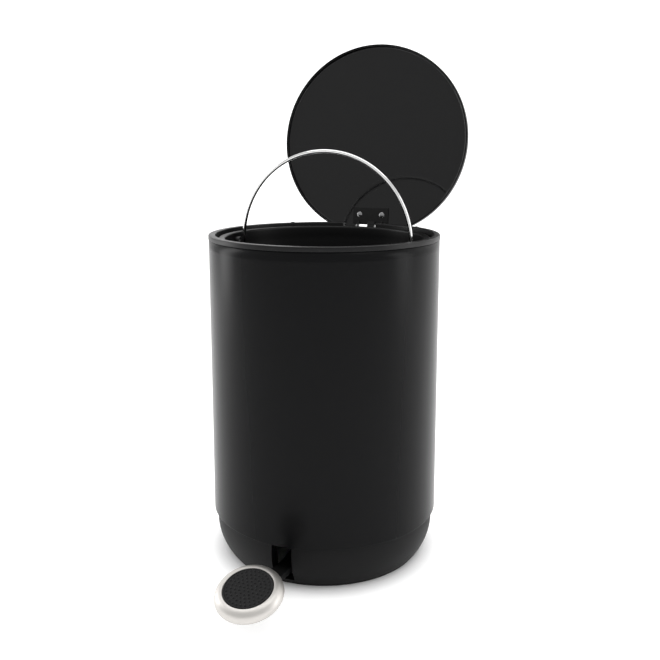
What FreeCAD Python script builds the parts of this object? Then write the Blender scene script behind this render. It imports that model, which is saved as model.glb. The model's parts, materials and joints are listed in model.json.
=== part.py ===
"""Pedal bin: steel shell on a plastic base, hinged lid, lift-out bucket and a foot pedal.

Row frame: millimetres, +Z up, origin on the bin's axis at floor level, pedal towards -Y, lid hinge
towards +Y. The pieces stand as they are with the pedal down, the lid wide open and the bail upright.
"""
import FreeCAD, Part

import math
import os
import re

import Sketcher

# Driving sizes, in millimetres and degrees. Each is written once.
SIZES = {
    # shell, base and floor
    "shell_radius": 102.5,
    "shell_wall": 0.8,
    "base_height": 39.5,
    "rim_top": 290.0,
    "base_inset": 4.0,
    "base_taper": 8.5,
    "base_bulge_radius": 46.0,
    "base_wall": 2.5,
    "deck_thick": 2.5,
    "collar_height": 10.0,
    "foot_gap": 2.0,
    "foot_flange": 8.0,
    "foot_ring_width": 5.0,
    "slot_width": 18.0,
    "slot_floor": 5.5,
    "fit_gap": 0.2,
    # rim ring
    "rim_proud": 0.3,
    "rim_cap": 4.0,
    "rim_width": 6.0,
    "rim_wall": 1.6,
    "rim_plug": 24.0,
    "ledge_drop": 9.0,
    "ledge_width": 4.8,
    "notch_half": 17.0,
    "notch_depth": 30.0,
    "bumper_height": 0.8,
    "bumper_radius": 2.0,
    "bumper_angle": 40.0,
    # bucket and bail
    "bucket_gap": 2.4,
    "bucket_wall": 1.3,
    "lip_width": 4.8,
    "lip_height": 6.0,
    "bucket_lift": 2.0,
    "bucket_taper": 16.6,
    "bucket_shoulder": 5.0,
    "ear_radius": 5.0,
    "ear_drop": 9.0,
    "bail_inset": 9.6,
    "bail_wire": 1.6,
    "bail_bend": 4.0,
    "bail_clear": 0.3,
    "bail_end_gap": 0.4,
    # hinge
    "hinge_stand": 2.5,
    "hinge_drop": 19.5,
    "hinge_pin_radius": 1.5,
    "run_gap": 0.05,
    "barrel_radius": 3.6,
    "cheek_inner": 12.0,
    "cheek_thick": 1.2,
    "ear_gap": 0.6,
    "hinge_plate_half": 19.0,
    "hinge_plate_depth": 17.0,
    "hinge_plate_gap": 0.5,
    "rib_left": 2.3,
    "rib_right": 5.2,
    "cheek_foot": 2.6,
    "cheek_clear": 0.5,
    "rivet_half": 12.0,
    "rivet_inset": 7.0,
    "back_rivet_half": 9.0,
    "rivet_head_radius": 2.8,
    "rivet_radius": 1.5,
    "rivet_head": 1.0,
    "back_plate_low": 20.0,
    "back_rivet_drop": 10.0,
    "back_plate_out": 1.5,
    "rivet_reach": 2.6,
    "pin_end": 2.0,
    "clip_gap": 0.4,
    "clip_thick": 1.0,
    "clip_width": 1.8,
    # lid
    "lid_open": 97.0,
    "lid_inset": 4.5,
    "lid_gap": 1.5,
    "lid_height": 9.0,
    "lid_crown": 1.0,
    "lid_wall": 0.8,
    "lid_edge": 3.0,
    "lid_lip": 4.0,
    "liner_wall": 1.5,
    "liner_set": 0.4,
    "lid_notch_half": 16.0,
    "lid_notch_depth": 10.5,
    # push rod
    "crank": 9.0,
    "rod_radius": 1.25,
    "rod_x": 4.0,
    "rod_bend": 3.0,
    "rod_foot_inset": 10.5,
    "rod_jog_top": 96.0,
    "rod_jog_bottom": 60.0,
    "rod_tail": 7.0,
    "rod_play": 0.9,
    "rod_end": 2.5,
    "cap_width": 1.1,
    "cap_gap": 0.6,
    "guide_low": 130.0,
    "guide_high": 208.0,
    "guide_height": 10.0,
    "guide_depth": 9.0,
    "guide_gap": 0.5,
    "guide_wall": 1.5,
    "guide_back_gap": 0.2,
    "guide_seat": 0.4,
    "collar_radius": 3.4,
    "collar_thick": 1.2,
    "tongue_half": 1.0,
    "tongue_radius": 2.7,
    # lever and pedal
    "pivot_y": 10.0,
    "pivot_z": 19.0,
    "pivot_pin_radius": 2.0,
    "pivot_boss": 4.5,
    "lug_gap": 0.8,
    "lug_thick": 3.0,
    "lever_half": 6.6,
    "lever_thick": 5.0,
    "lever_end": 4.2,
    "knee_inset": 10.0,
    "slot_play": 0.8,
    "slot_back": 4.4,
    "slot_front": 1.2,
    "pedal_stand": 55.5,
    "pedal_tilt": 13.0,
    "pedal_rise": 21.0,
    "seat_thick": 3.0,
    "pedal_radius": 27.5,
    "pedal_height": 12.0,
    "pad_radius": 19.6,
    "pad_thick": 3.4,
    "pad_gap": 0.2,
    "pad_proud": 0.6,
    "cup_lip": 1.6,
    "seat_radius": 14.0,
    "screw_radius": 2.0,
    "screw_head_radius": 3.6,
    "screw_head": 2.4,
}

# Lengths that follow from the driving sizes, as expressions on them.
DERIVED = {
    "base_top_radius": "shell_radius - base_inset",
    "base_foot_radius": "base_top_radius - base_taper",
    "shell_bore": "shell_radius - shell_wall",
    "shell_top": "rim_top - rim_cap",
    "collar_radius_out": "shell_bore - fit_gap",
    "deck_top": "base_height + deck_thick",
    "rim_outer": "shell_radius + rim_proud",
    "rim_inner": "rim_outer - rim_width",
    "ledge_top": "rim_top - ledge_drop",
    "ledge_inner": "rim_inner - ledge_width",
    "plug_outer": "shell_bore - fit_gap",
    "plug_bottom": "rim_top - rim_plug",
    "notch_floor": "rim_top - notch_depth",
    "lip_outer": "rim_inner - bucket_gap",
    "bucket_top_radius": "lip_outer - lip_width",
    "bucket_foot_radius": "bucket_top_radius - bucket_taper",
    "shoulder": "ledge_top - bucket_shoulder",
    "bail_radius": "bucket_top_radius - bail_inset",
    "lip_top": "ledge_top + lip_height",
    "bucket_foot": "deck_top + bucket_lift",
    "ear_z": "lip_top - ear_drop",
    "hinge_y": "shell_radius + hinge_stand",
    "hinge_z": "rim_top - hinge_drop",
    "lid_radius": "shell_radius - lid_inset",
    "lid_bottom": "rim_top + lid_gap",
    "lid_top": "lid_bottom + lid_height",
    "lid_face": "lid_bottom + lid_lip",
    "lid_notch_y": "lid_radius - lid_notch_depth",
    "hinge_plate_back": "lid_notch_y - hinge_plate_gap",
    "hinge_plate_front": "hinge_plate_back - hinge_plate_depth",
    "rivet_y": "hinge_plate_front + rivet_inset",
    "back_rivet_z": "notch_floor - back_rivet_drop",
    "rod_y": "hinge_y - crank * cos(lid_open / 2)",
    "rod_foot_y": "base_foot_radius - rod_foot_inset",
    "pedal_reach": "shell_radius + pedal_stand",
    "pad_low": "pedal_height / 2 - pad_thick + pad_proud",
    "ear_inner": "cheek_inner + cheek_thick + ear_gap",
    "lug_inner": "lever_half + lug_gap",
}

doc = FreeCAD.newDocument("pedal_bin")
NODES = {}


def make_sheet():
    """The spreadsheet that every piece is bound to."""
    sheet = doc.addObject("Spreadsheet::Sheet", "Sizes")
    for row, (alias, value) in enumerate(SIZES.items(), start=1):
        sheet.set(f"A{row}", alias)
        sheet.set(f"B{row}", str(value))
        sheet.setAlias(f"B{row}", alias)
    doc.recompute()
    return sheet


sheet = make_sheet()


def bound(expression):
    """An expression with every derived length spelled out and every size read from the sheet."""
    def spell(match):
        word = match.group(0)
        if word in DERIVED:
            return f"({bound(DERIVED[word])})"
        if word in SIZES:
            return f"Sizes.{word}"
        return word
    return re.sub(r"(?<![.\w])[a-z_]+\b", spell, str(expression))


def size(expression):
    """The number an expression gives now."""
    value = sheet.evalExpression(bound(expression))
    return float(getattr(value, "Value", value))


def keep(label, piece, placement=None):
    """Name a finished sub-part and set where it stands."""
    piece.Label = label
    if placement is not None:
        piece.Placement = placement
    NODES[label] = piece
    return piece


# --- sketches and PartDesign features ------------------------------------------------------------

def new_body(name):
    return doc.addObject("PartDesign::Body", name + "_body")


def origin_plane(body, role):
    return next(item for item in body.Origin.OriginFeatures if item.Role == role)


def attached_sketch(body, name, role, offset="0"):
    """An empty sketch on one of the body's own planes, moved along the plane's normal."""
    sketch = body.newObject("Sketcher::SketchObject", name)
    sketch.AttachmentSupport = [(origin_plane(body, role), "")]
    sketch.MapMode = "FlatFace"
    sketch.AttachmentOffset = FreeCAD.Placement(FreeCAD.Vector(0, 0, 1), FreeCAD.Rotation())
    sketch.setExpression("AttachmentOffset.Base.z", bound(offset))
    return sketch


def fix_point(sketch, geometry, end, across, up):
    """Hold one end of a line or arc at a place given by two expressions."""
    for kind, expression, axis in (("DistanceX", across, -2), ("DistanceY", up, -1)):
        value = size(expression)
        if abs(value) < 1e-9:
            sketch.addConstraint(Sketcher.Constraint("PointOnObject", geometry, end, axis))
            continue
        index = sketch.addConstraint(Sketcher.Constraint(kind, geometry, end, value))
        sketch.setExpression(f"Constraints[{index}]", bound(expression))


def draw_outline(sketch, corners):
    """A closed outline. A corner is (across, up), or (across, up, radius) where an arc that bulges
    to the right of the way there ends."""
    points = [FreeCAD.Vector(size(corner[0]), size(corner[1]), 0) for corner in corners]
    ends = []
    for index, corner in enumerate(corners):
        start, end = points[index - 1], points[index]
        if len(corner) == 2:
            line = sketch.addGeometry(Part.LineSegment(start, end), False)
            ends.append((line, 1, 2))
            continue
        radius = size(corner[2])
        chord = end - start
        side = FreeCAD.Vector(chord.y, -chord.x, 0).normalize()
        rise = radius - math.sqrt(radius ** 2 - (chord.Length / 2) ** 2)
        arc = sketch.addGeometry(Part.Arc(start, (start + end) / 2 + side * rise, end), False)
        first = sketch.getPoint(arc, 1)
        swapped = first.distanceToPoint(start) > first.distanceToPoint(end)
        ends.append((arc, 2, 1) if swapped else (arc, 1, 2))
        held = sketch.addConstraint(Sketcher.Constraint("Radius", arc, radius))
        sketch.setExpression(f"Constraints[{held}]", bound(corner[2]))
    for index, (geometry, _, finish) in enumerate(ends):
        following, begin, _ = ends[(index + 1) % len(ends)]
        sketch.addConstraint(Sketcher.Constraint("Coincident", geometry, finish, following, begin))
        fix_point(sketch, geometry, finish, corners[index][0], corners[index][1])


def box_corners(low_x, low_y, high_x, high_y):
    return [(low_x, low_y), (high_x, low_y), (high_x, high_y), (low_x, high_y)]


def revolve(body, name, corners):
    """Turn a radius and height outline about the body's Z axis."""
    sketch = attached_sketch(body, name + "_outline", "XZ_Plane")
    draw_outline(sketch, corners)
    turned = body.newObject("PartDesign::Revolution", name)
    turned.Profile = sketch
    turned.ReferenceAxis = (sketch, ["V_Axis"])
    turned.Angle = 360
    doc.recompute()
    return turned


def pad(body, name, role, corners, low, high):
    """Add an outline's shape between two distances along the plane's normal."""
    sketch = attached_sketch(body, name + "_outline", role, low)
    draw_outline(sketch, corners)
    padded = body.newObject("PartDesign::Pad", name)
    padded.Profile = sketch
    padded.setExpression("Length", bound(f"({high}) - ({low})"))
    doc.recompute()
    return padded


def cut(body, name, role, corners, low, high):
    """Remove an outline's shape between two distances along the plane's normal."""
    before = body.Shape.Volume
    sketch = attached_sketch(body, name + "_outline", role, high)
    draw_outline(sketch, corners)
    pocket = body.newObject("PartDesign::Pocket", name)
    pocket.Profile = sketch
    pocket.setExpression("Length", bound(f"({high}) - ({low})"))
    doc.recompute()
    if body.Shape.Volume > before - 1e-3:
        raise RuntimeError(f"{name} cuts nothing")
    return pocket


def round_sketch(body, name, role, across, up, radius, offset):
    sketch = attached_sketch(body, name + "_outline", role, offset)
    centre = FreeCAD.Vector(size(across), size(up), 0)
    ring = sketch.addGeometry(Part.Circle(centre, FreeCAD.Vector(0, 0, 1), size(radius)), False)
    held = sketch.addConstraint(Sketcher.Constraint("Radius", ring, size(radius)))
    sketch.setExpression(f"Constraints[{held}]", bound(radius))
    fix_point(sketch, ring, 3, across, up)
    return sketch


def pad_round(body, name, role, across, up, radius, low, high):
    padded_sketch = round_sketch(body, name, role, across, up, radius, low)
    padded = body.newObject("PartDesign::Pad", name)
    padded.Profile = padded_sketch
    padded.setExpression("Length", bound(f"({high}) - ({low})"))
    doc.recompute()
    return padded


def drill(body, name, role, across, up, radius, low, high):
    """A round hole between two distances along the plane's normal."""
    before = body.Shape.Volume
    sketch = round_sketch(body, name, role, across, up, radius, high)
    pocket = body.newObject("PartDesign::Pocket", name)
    pocket.Profile = sketch
    pocket.setExpression("Length", bound(f"({high}) - ({low})"))
    doc.recompute()
    if body.Shape.Volume > before - 1e-3:
        raise RuntimeError(f"{name} cuts nothing")
    return pocket


# --- Part primitives -----------------------------------------------------------------------------

TURN_TO_X = FreeCAD.Rotation(FreeCAD.Vector(0, 1, 0), 90)
TURN_TO_Y = FreeCAD.Rotation(FreeCAD.Vector(1, 0, 0), -90)


def cylinder(name, radius, length, place, turn=None):
    """A cylinder from a place given by three expressions, along Z or as the turn says."""
    rod = doc.addObject("Part::Cylinder", name)
    rod.setExpression("Radius", bound(radius))
    rod.setExpression("Height", bound(length))
    rod.Placement = FreeCAD.Placement(FreeCAD.Vector(1, 1, 1), turn or FreeCAD.Rotation())
    for letter, expression in zip("xyz", place):
        rod.setExpression(f"Placement.Base.{letter}", bound(expression))
    return rod


def washer(name, outer, bore, thick, place, turn=None):
    """A flat ring as one cylinder cut from another."""
    ring = doc.addObject("Part::Cut", name)
    ring.Base = cylinder(name + "_disc", outer, thick, place, turn)
    ring.Tool = cylinder(name + "_bore", bore, thick, place, turn)
    return ring


def fused(name, pieces):
    joined = doc.addObject("Part::MultiFuse", name)
    joined.Shapes = pieces
    return joined


def grouped(name, pieces):
    group = doc.addObject("Part::Compound", name)
    group.Links = pieces
    return group


# --- poses ---------------------------------------------------------------------------------------

def lid_pose():
    """From the closed lid to the lid wide open, about the hinge pin."""
    centre = FreeCAD.Vector(0, size("hinge_y"), size("hinge_z"))
    turn = FreeCAD.Rotation(FreeCAD.Vector(1, 0, 0), -size("lid_open"))
    return FreeCAD.Placement(FreeCAD.Vector(), turn, centre)


def rod_travel():
    """How far the push rod rises as the lid opens: the crank swings evenly about level."""
    return 2 * size("crank") * math.sin(math.radians(size("lid_open") / 2))


def rod_top():
    """Centre of the rod's hooked top end, with the lid open."""
    half = math.radians(size("lid_open") / 2)
    back = size("hinge_y") - size("crank") * math.cos(half)
    return FreeCAD.Vector(0, back, size("hinge_z") + size("crank") * math.sin(half))


def lever_tilt():
    """Half of the lever's swing, in degrees: its rear end follows the push rod."""
    rear = size("rod_foot_y + pivot_y")
    return math.degrees(math.asin(rod_travel() / 2 / rear))


def lever_pose():
    """Lever modelled level with its pivot at the origin, turned to pedal down."""
    turn = FreeCAD.Rotation(FreeCAD.Vector(1, 0, 0), lever_tilt())
    return FreeCAD.Placement(FreeCAD.Vector(0, -size("pivot_y"), size("pivot_z")), turn)


def pedal_pose():
    """Pedal modelled flat about its own centre, tilted forward on the lever's front end."""
    place = FreeCAD.Vector(0, size("pivot_y - pedal_reach"), size("pedal_rise"))
    turn = FreeCAD.Rotation(FreeCAD.Vector(1, 0, 0), size("pedal_tilt"))
    return lever_pose().multiply(FreeCAD.Placement(place, turn))


# --- the base and shell --------------------------------------------------------------------------

def base_housing():
    """Moulded base: bulged skirt, deck under the bucket, collar inside the shell, pivot lugs."""
    body = new_body("base")
    revolve(body, "skirt", [
        ("0", "base_height"),
        ("base_top_radius - base_wall", "base_height"),
        ("base_foot_radius - base_wall", "foot_gap + base_wall", "base_bulge_radius"),
        ("base_foot_radius - foot_flange", "foot_gap + base_wall"),
        ("base_foot_radius - foot_flange", "foot_gap"),
        ("base_foot_radius", "foot_gap"),
        ("base_top_radius", "base_height", "base_bulge_radius"),
        ("collar_radius_out", "base_height"),
        ("collar_radius_out", "base_height + collar_height"),
        ("collar_radius_out - base_wall", "base_height + collar_height"),
        ("collar_radius_out - base_wall", "deck_top"),
        ("0", "deck_top"),
    ])
    half = "slot_width / 2"
    cut(body, "pedal_slot", "XY_Plane",
        box_corners(f"-{half}", "-shell_radius", half, "-base_foot_radius / 2"),
        "slot_floor", "base_height")
    for name, side in (("left_lug", "-1"), ("right_lug", "1")):
        near, far = "lug_inner", "lug_inner + lug_thick"
        low, high = (f"-({far})", f"-({near})") if side == "-1" else (near, far)
        pad(body, name, "YZ_Plane",
            box_corners("-pivot_y - 1.5 * pivot_boss", "pivot_z - 1.2 * pivot_boss",
                        "-pivot_y + 1.5 * pivot_boss", "base_height + deck_thick / 2"), low, high)
    drill(body, "pivot_hole", "YZ_Plane", "-pivot_y", "pivot_z", "pivot_pin_radius + run_gap",
          "-lug_inner - lug_thick - 1", "lug_inner + lug_thick + 1")
    cut(body, "rod_hole", "XY_Plane",
        box_corners("-rod_x - 2 * rod_radius", "rod_foot_y - 5 * rod_radius",
                    "-rod_x + 2 * rod_radius", "rod_foot_y + 2 * rod_radius"),
        "base_height - 1", "deck_top + 1")
    return keep("base_housing", body)


def floor_ring():
    """Soft ring under the foot flange, which the bin stands on."""
    middle = "base_foot_radius - foot_flange / 2"
    ring = washer("foot_washer", f"{middle} + foot_ring_width / 2",
                  f"{middle} - foot_ring_width / 2", "foot_gap", ("0", "0", "0"))
    return keep("floor_ring", ring)


def outer_shell():
    """Rolled steel tube, notched at the back for the hinge."""
    body = new_body("shell")
    revolve(body, "tube", box_corners("shell_bore", "base_height", "shell_radius", "shell_top"))
    cut(body, "hinge_notch", "XY_Plane",
        box_corners("-notch_half", "shell_radius / 2", "notch_half", "shell_radius + 1"),
        "notch_floor", "shell_top + 1")
    for name, across in (("left_hole", "-back_rivet_half"), ("right_hole", "back_rivet_half")):
        drill(body, name, "XZ_Plane", across, "back_rivet_z", "rivet_radius",
              "-shell_radius - 1", "-shell_radius / 2")
    return keep("outer_shell", body)


def rim_ring():
    """Moulded rim: caps the shell, plugs into it and carries the bucket on an inner ledge."""
    body = new_body("rim")
    revolve(body, "rim_section", [
        ("rim_outer", "shell_top"),
        ("rim_outer", "rim_top - rim_wall / 2"),
        ("rim_outer - rim_wall / 2", "rim_top"),
        ("rim_inner + rim_wall / 2", "rim_top"),
        ("rim_inner", "rim_top - rim_wall / 2"),
        ("rim_inner", "ledge_top"),
        ("ledge_inner", "ledge_top"),
        ("ledge_inner", "ledge_top - rim_wall"),
        ("rim_inner + rim_wall", "ledge_top - rim_wall"),
        ("rim_inner + rim_wall", "rim_top - rim_wall"),
        ("plug_outer - rim_wall", "rim_top - rim_wall"),
        ("plug_outer - rim_wall", "plug_bottom"),
        ("plug_outer", "plug_bottom"),
        ("plug_outer", "shell_top"),
    ])
    cut(body, "rim_notch", "XY_Plane",
        box_corners("-notch_half", "shell_radius / 2", "notch_half", "shell_radius + 1"),
        "notch_floor", "rim_top + 1")
    return keep("rim_ring", body)


def rim_bumpers():
    """Two soft buttons, one each side of the hinge, that the closed lid comes down on."""
    buttons = []
    reach = "(rim_outer - rim_width / 2)"
    for index, side in enumerate((-1, 1)):
        place = (f"{side} * {reach} * sin(bumper_angle)", f"{reach} * cos(bumper_angle)", "rim_top")
        buttons.append(cylinder(f"bumper_{index}", "bumper_radius", "bumper_height", place))
    return keep("rim_bumpers", grouped("bumpers", buttons))


def rod_guides():
    """Two open clips on the inside of the shell that keep the push rod from rattling."""
    clips = []
    inner, outer = "rod_radius + guide_gap", "rod_radius + guide_gap + guide_wall"
    back = "rod_y + rod_radius + guide_back_gap"
    seat = "shell_bore - guide_seat"
    mouth = "shell_bore - guide_depth"
    for name, low in (("low_guide", "guide_low"), ("high_guide", "guide_high")):
        body = new_body(name)
        pad(body, name + "_clip", "XY_Plane", [
            (f"-rod_x - ({outer})", mouth),
            (f"-rod_x - ({inner})", mouth),
            (f"-rod_x - ({inner})", back),
            (f"-rod_x + {inner}", back),
            (f"-rod_x + {inner}", mouth),
            (f"-rod_x + {outer}", mouth),
            (f"-rod_x + {outer}", seat),
            (f"-rod_x - ({outer})", seat),
        ], low, f"{low} + guide_height")
        clips.append(body)
    return keep("rod_guides", grouped("guides", clips))


# --- the bucket and bail -------------------------------------------------------------------------

def inner_bucket():
    """Moulded tapered bucket: its turned-down lip stands on the rim's ledge."""
    body = new_body("bucket")
    revolve(body, "bucket_section", [
        ("0", "bucket_foot"),
        ("bucket_foot_radius", "bucket_foot"),
        ("bucket_top_radius", "shoulder"),
        ("bucket_top_radius", "lip_top - bucket_wall"),
        ("lip_outer - bucket_wall", "lip_top - bucket_wall"),
        ("lip_outer - bucket_wall", "ledge_top"),
        ("lip_outer", "ledge_top"),
        ("lip_outer", "lip_top - bucket_wall"),
        ("lip_outer - bucket_wall", "lip_top"),
        ("bucket_top_radius", "lip_top"),
        ("bucket_top_radius - bucket_wall", "lip_top - bucket_wall"),
        ("bucket_top_radius - bucket_wall", "shoulder"),
        ("bucket_foot_radius - bucket_wall", "bucket_foot + bucket_wall"),
        ("0", "bucket_foot + bucket_wall"),
    ])
    wall = "bucket_top_radius - bucket_wall / 2"
    near = "bail_radius + bail_bend + bail_clear"
    for name, low, high in (("left_ear", f"-({wall})", f"-({near})"), ("right_ear", near, wall)):
        pad_round(body, name, "YZ_Plane", "0", "ear_z", "ear_radius", low, high)
    for name, low, high in (("left_bore", f"-({wall})", f"-({near}) + 1"),
                            ("right_bore", f"{near} - 1", wall)):
        drill(body, name, "YZ_Plane", "0", "ear_z", "bail_wire + run_gap", low, high)
    return keep("inner_bucket", body)


def bent_wire(points, bends, radius):
    """A round wire along straight runs that are joined by tangent arcs."""
    edges = []
    start = points[0]
    for before, corner, after, bend in zip(points, points[1:], points[2:], bends):
        way_in = (corner - before).normalize()
        way_out = (after - corner).normalize()
        turn = way_in.getAngle(way_out)
        back = bend * math.tan(turn / 2)
        entry = corner - way_in * back
        leave = corner + way_out * back
        inward = (way_out - way_in).normalize()
        centre = corner + inward * (bend / math.cos(turn / 2))
        middle = centre - inward * bend
        edges.append(Part.LineSegment(start, entry).toShape())
        edges.append(Part.Arc(entry, middle, leave).toShape())
        start = leave
    edges.append(Part.LineSegment(start, points[-1]).toShape())
    path = Part.Wire(edges)
    ring = Part.Circle(points[0], points[1] - points[0], radius).toShape()
    return path.makePipeShell([Part.Wire([ring])], True, False)


def bail_handle():
    """Bright steel wire bent to a half circle, with an outward leg in each ear of the bucket."""
    wire = size("bail_wire")
    reach = size("bail_radius")
    bend = size("bail_bend")
    low = size("ear_z")
    tip = size("bucket_top_radius - bucket_wall / 2 - bail_end_gap")
    vector = FreeCAD.Vector
    leg = Part.LineSegment(vector(-tip, 0, low), vector(-reach - bend, 0, low)).toShape()
    slant = bend * math.sqrt(0.5)
    elbow = Part.Arc(vector(-reach - bend, 0, low),
                     vector(-reach - bend + slant, 0, low + bend - slant),
                     vector(-reach, 0, low + bend)).toShape()
    arch = Part.Arc(vector(-reach, 0, low + bend), vector(0, 0, low + bend + reach),
                    vector(reach, 0, low + bend)).toShape()
    far_elbow = Part.Arc(vector(reach, 0, low + bend),
                         vector(reach + bend - slant, 0, low + bend - slant),
                         vector(reach + bend, 0, low)).toShape()
    far_leg = Part.LineSegment(vector(reach + bend, 0, low), vector(tip, 0, low)).toShape()
    path = Part.Wire([leg, elbow, arch, far_elbow, far_leg])
    ring = Part.Circle(vector(-tip, 0, low), vector(1, 0, 0), wire).toShape()
    handle = doc.addObject("Part::Feature", "bail")
    handle.Shape = path.makePipeShell([Part.Wire([ring])], True, False)
    return keep("bail_handle", handle)


# --- the hinge -----------------------------------------------------------------------------------

def body_hinge_bracket():
    """Curved steel plate on the back of the shell with two ears that hold the hinge pin."""
    body = new_body("back_bracket")
    low = "notch_floor - back_plate_low"
    revolve(body, "back_plate", box_corners("shell_radius + run_gap", low,
                                            "shell_radius + back_plate_out", "notch_floor - rim_wall / 3"))
    cut(body, "trim_front", "XY_Plane",
        box_corners("-2 * shell_radius", "-2 * shell_radius", "2 * shell_radius", "shell_radius / 2"),
        low + " - 1", "rim_top")
    for name, start, finish in (("trim_left", "-2 * shell_radius", "-hinge_plate_half"),
                            ("trim_right", "hinge_plate_half", "2 * shell_radius")):
        cut(body, name, "XY_Plane", box_corners(start, "0", finish, "2 * shell_radius"),
            low + " - 1", "rim_top")
    inner, outer = "ear_inner", "ear_inner + cheek_thick"
    for name, start, finish in (("left_ear", f"-({outer})", f"-({inner})"),
                                ("right_ear", inner, outer)):
        pad(body, name, "YZ_Plane", [
            ("shell_radius", low),
            ("shell_radius + back_plate_out + clip_gap", low),
            ("hinge_y + barrel_radius", "notch_floor + barrel_radius / 2"),
            ("hinge_y + barrel_radius", "hinge_z"),
            ("hinge_y - barrel_radius", "hinge_z"),
            ("hinge_y - barrel_radius", "notch_floor + 1.4 * barrel_radius"),
            ("shell_radius", "notch_floor + barrel_radius / 4"),
        ], start, finish)
        pad_round(body, name + "_eye", "YZ_Plane", "hinge_y", "hinge_z", "barrel_radius",
                  start, finish)
    drill(body, "pin_hole", "YZ_Plane", "hinge_y", "hinge_z", "hinge_pin_radius + run_gap",
          f"-({outer}) - 1", f"{outer} + 1")
    for name, across in (("left_hole", "-back_rivet_half"), ("right_hole", "back_rivet_half")):
        drill(body, name, "XZ_Plane", across, "back_rivet_z", "rivet_radius",
              "-hinge_y", "-shell_radius / 2")
    return keep("body_hinge_bracket", body)


def body_hinge_rivets():
    """Two rivets through the back plate and the shell."""
    rivets = []
    for index, side in enumerate((-1, 1)):
        across = f"{side} * back_rivet_half"
        shank = cylinder(f"back_shank_{index}", "rivet_radius",
                         "rivet_reach + back_plate_out + rivet_head / 2",
                         (across, "shell_radius - rivet_reach", "back_rivet_z"), TURN_TO_Y)
        head = cylinder(f"back_head_{index}", "rivet_head_radius", "rivet_head",
                        (across, "shell_radius + back_plate_out", "back_rivet_z"), TURN_TO_Y)
        tail = cylinder(f"back_tail_{index}", "rivet_head_radius", "rivet_head",
                        (across, "shell_radius - rivet_reach", "back_rivet_z"), TURN_TO_Y)
        rivets.append(fused(f"back_rivet_{index}", [shank, head, tail]))
    return keep("body_hinge_rivets", grouped("back_rivets", rivets))


def hinge_pin():
    """Steel pin through the ears and the lid bracket's barrel."""
    reach = "ear_inner + cheek_thick + pin_end"
    pin = cylinder("lid_pin", "hinge_pin_radius", f"2 * ({reach})",
                   (f"-({reach})", "hinge_y", "hinge_z"), TURN_TO_X)
    return keep("hinge_pin", pin)


def hinge_pin_clips():
    """Push-on clips at both ends of the hinge pin."""
    clips = []
    near = "ear_inner + cheek_thick + clip_gap"
    for index, start in enumerate((f"-({near} + clip_thick)", near)):
        clips.append(washer(f"lid_pin_clip_{index}", "hinge_pin_radius + clip_width",
                            "hinge_pin_radius", "clip_thick", (start, "hinge_y", "hinge_z"), TURN_TO_X))
    return keep("hinge_pin_clips", grouped("lid_pin_clips", clips))


def lid_hinge_bracket():
    """Steel bracket on the lid's inner face: plate, two cheeks, a rib, pin barrel and crank."""
    body = new_body("lid_bracket")
    pad(body, "bracket_plate", "XY_Plane",
        box_corners("-hinge_plate_half", "hinge_plate_front", "hinge_plate_half", "hinge_plate_back"),
        "lid_face - cheek_thick", "lid_face")
    inner, outer = "cheek_inner", "cheek_inner + cheek_thick"
    for name, low, high in (("left_cheek", f"-({outer})", f"-({inner})"),
                            ("right_cheek", inner, outer), ("rib", "-rib_left", "rib_right")):
        pad(body, name, "YZ_Plane", [
            ("rivet_y + rivet_inset", "lid_face"),
            ("rivet_y + rivet_inset", "lid_face - cheek_foot"),
            ("lip_outer + cheek_clear", "lip_top + 4 * cheek_clear"),
            ("lip_outer + 3 * cheek_clear", "hinge_z + 1.6 * barrel_radius"),
            ("hinge_y - 0.8 * barrel_radius", "hinge_z - 0.5 * barrel_radius"),
            ("hinge_y + 0.6 * barrel_radius", "hinge_z + 0.7 * barrel_radius"),
            ("hinge_y - 1.1 * barrel_radius", "rim_top - 2 * cheek_clear"),
            ("hinge_y - 1.6 * barrel_radius", "lid_face - 4 * cheek_clear"),
            ("hinge_plate_back - cheek_clear", "lid_face"),
        ], low, high)
    pad_round(body, "barrel", "YZ_Plane", "hinge_y", "hinge_z", "barrel_radius",
              f"-({outer})", outer)
    add_tongue(body)
    drill(body, "pin_bore", "YZ_Plane", "hinge_y", "hinge_z", "hinge_pin_radius + run_gap",
          f"-({outer}) - 1", f"{outer} + 1")
    for name, across in (("left_hole", "-rivet_half"), ("right_hole", "rivet_half")):
        drill(body, name, "XY_Plane", across, "rivet_y", "rivet_radius",
              "lid_face - cheek_thick - 1", "lid_face + 1")
    return keep("lid_hinge_bracket", body, lid_pose())


def add_tongue(body):
    """The crank that the rod's top end turns in: level half way between closed and open."""
    half_turn = "(lid_open / 2)"
    tip_y = "rod_y"
    tip_z = f"(hinge_z - crank * sin({half_turn}))"
    side = "tongue_radius"
    pad(body, "tongue_arm", "YZ_Plane", [
        (f"{tip_y} - {side} * sin({half_turn})", f"{tip_z} + {side} * cos({half_turn})"),
        (f"{tip_y} + {side} * sin({half_turn})", f"{tip_z} - {side} * cos({half_turn})"),
        (f"hinge_y + {side} * sin({half_turn})", f"hinge_z - {side} * cos({half_turn})"),
        (f"hinge_y - {side} * sin({half_turn})", f"hinge_z + {side} * cos({half_turn})"),
    ], "-tongue_half", "tongue_half")
    pad_round(body, "tongue_tip", "YZ_Plane", tip_y, tip_z, side, "-tongue_half", "tongue_half")
    drill(body, "crank_hole", "YZ_Plane", tip_y, tip_z, "rod_radius + run_gap",
          "-2 * tongue_half", "2 * tongue_half")


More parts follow.
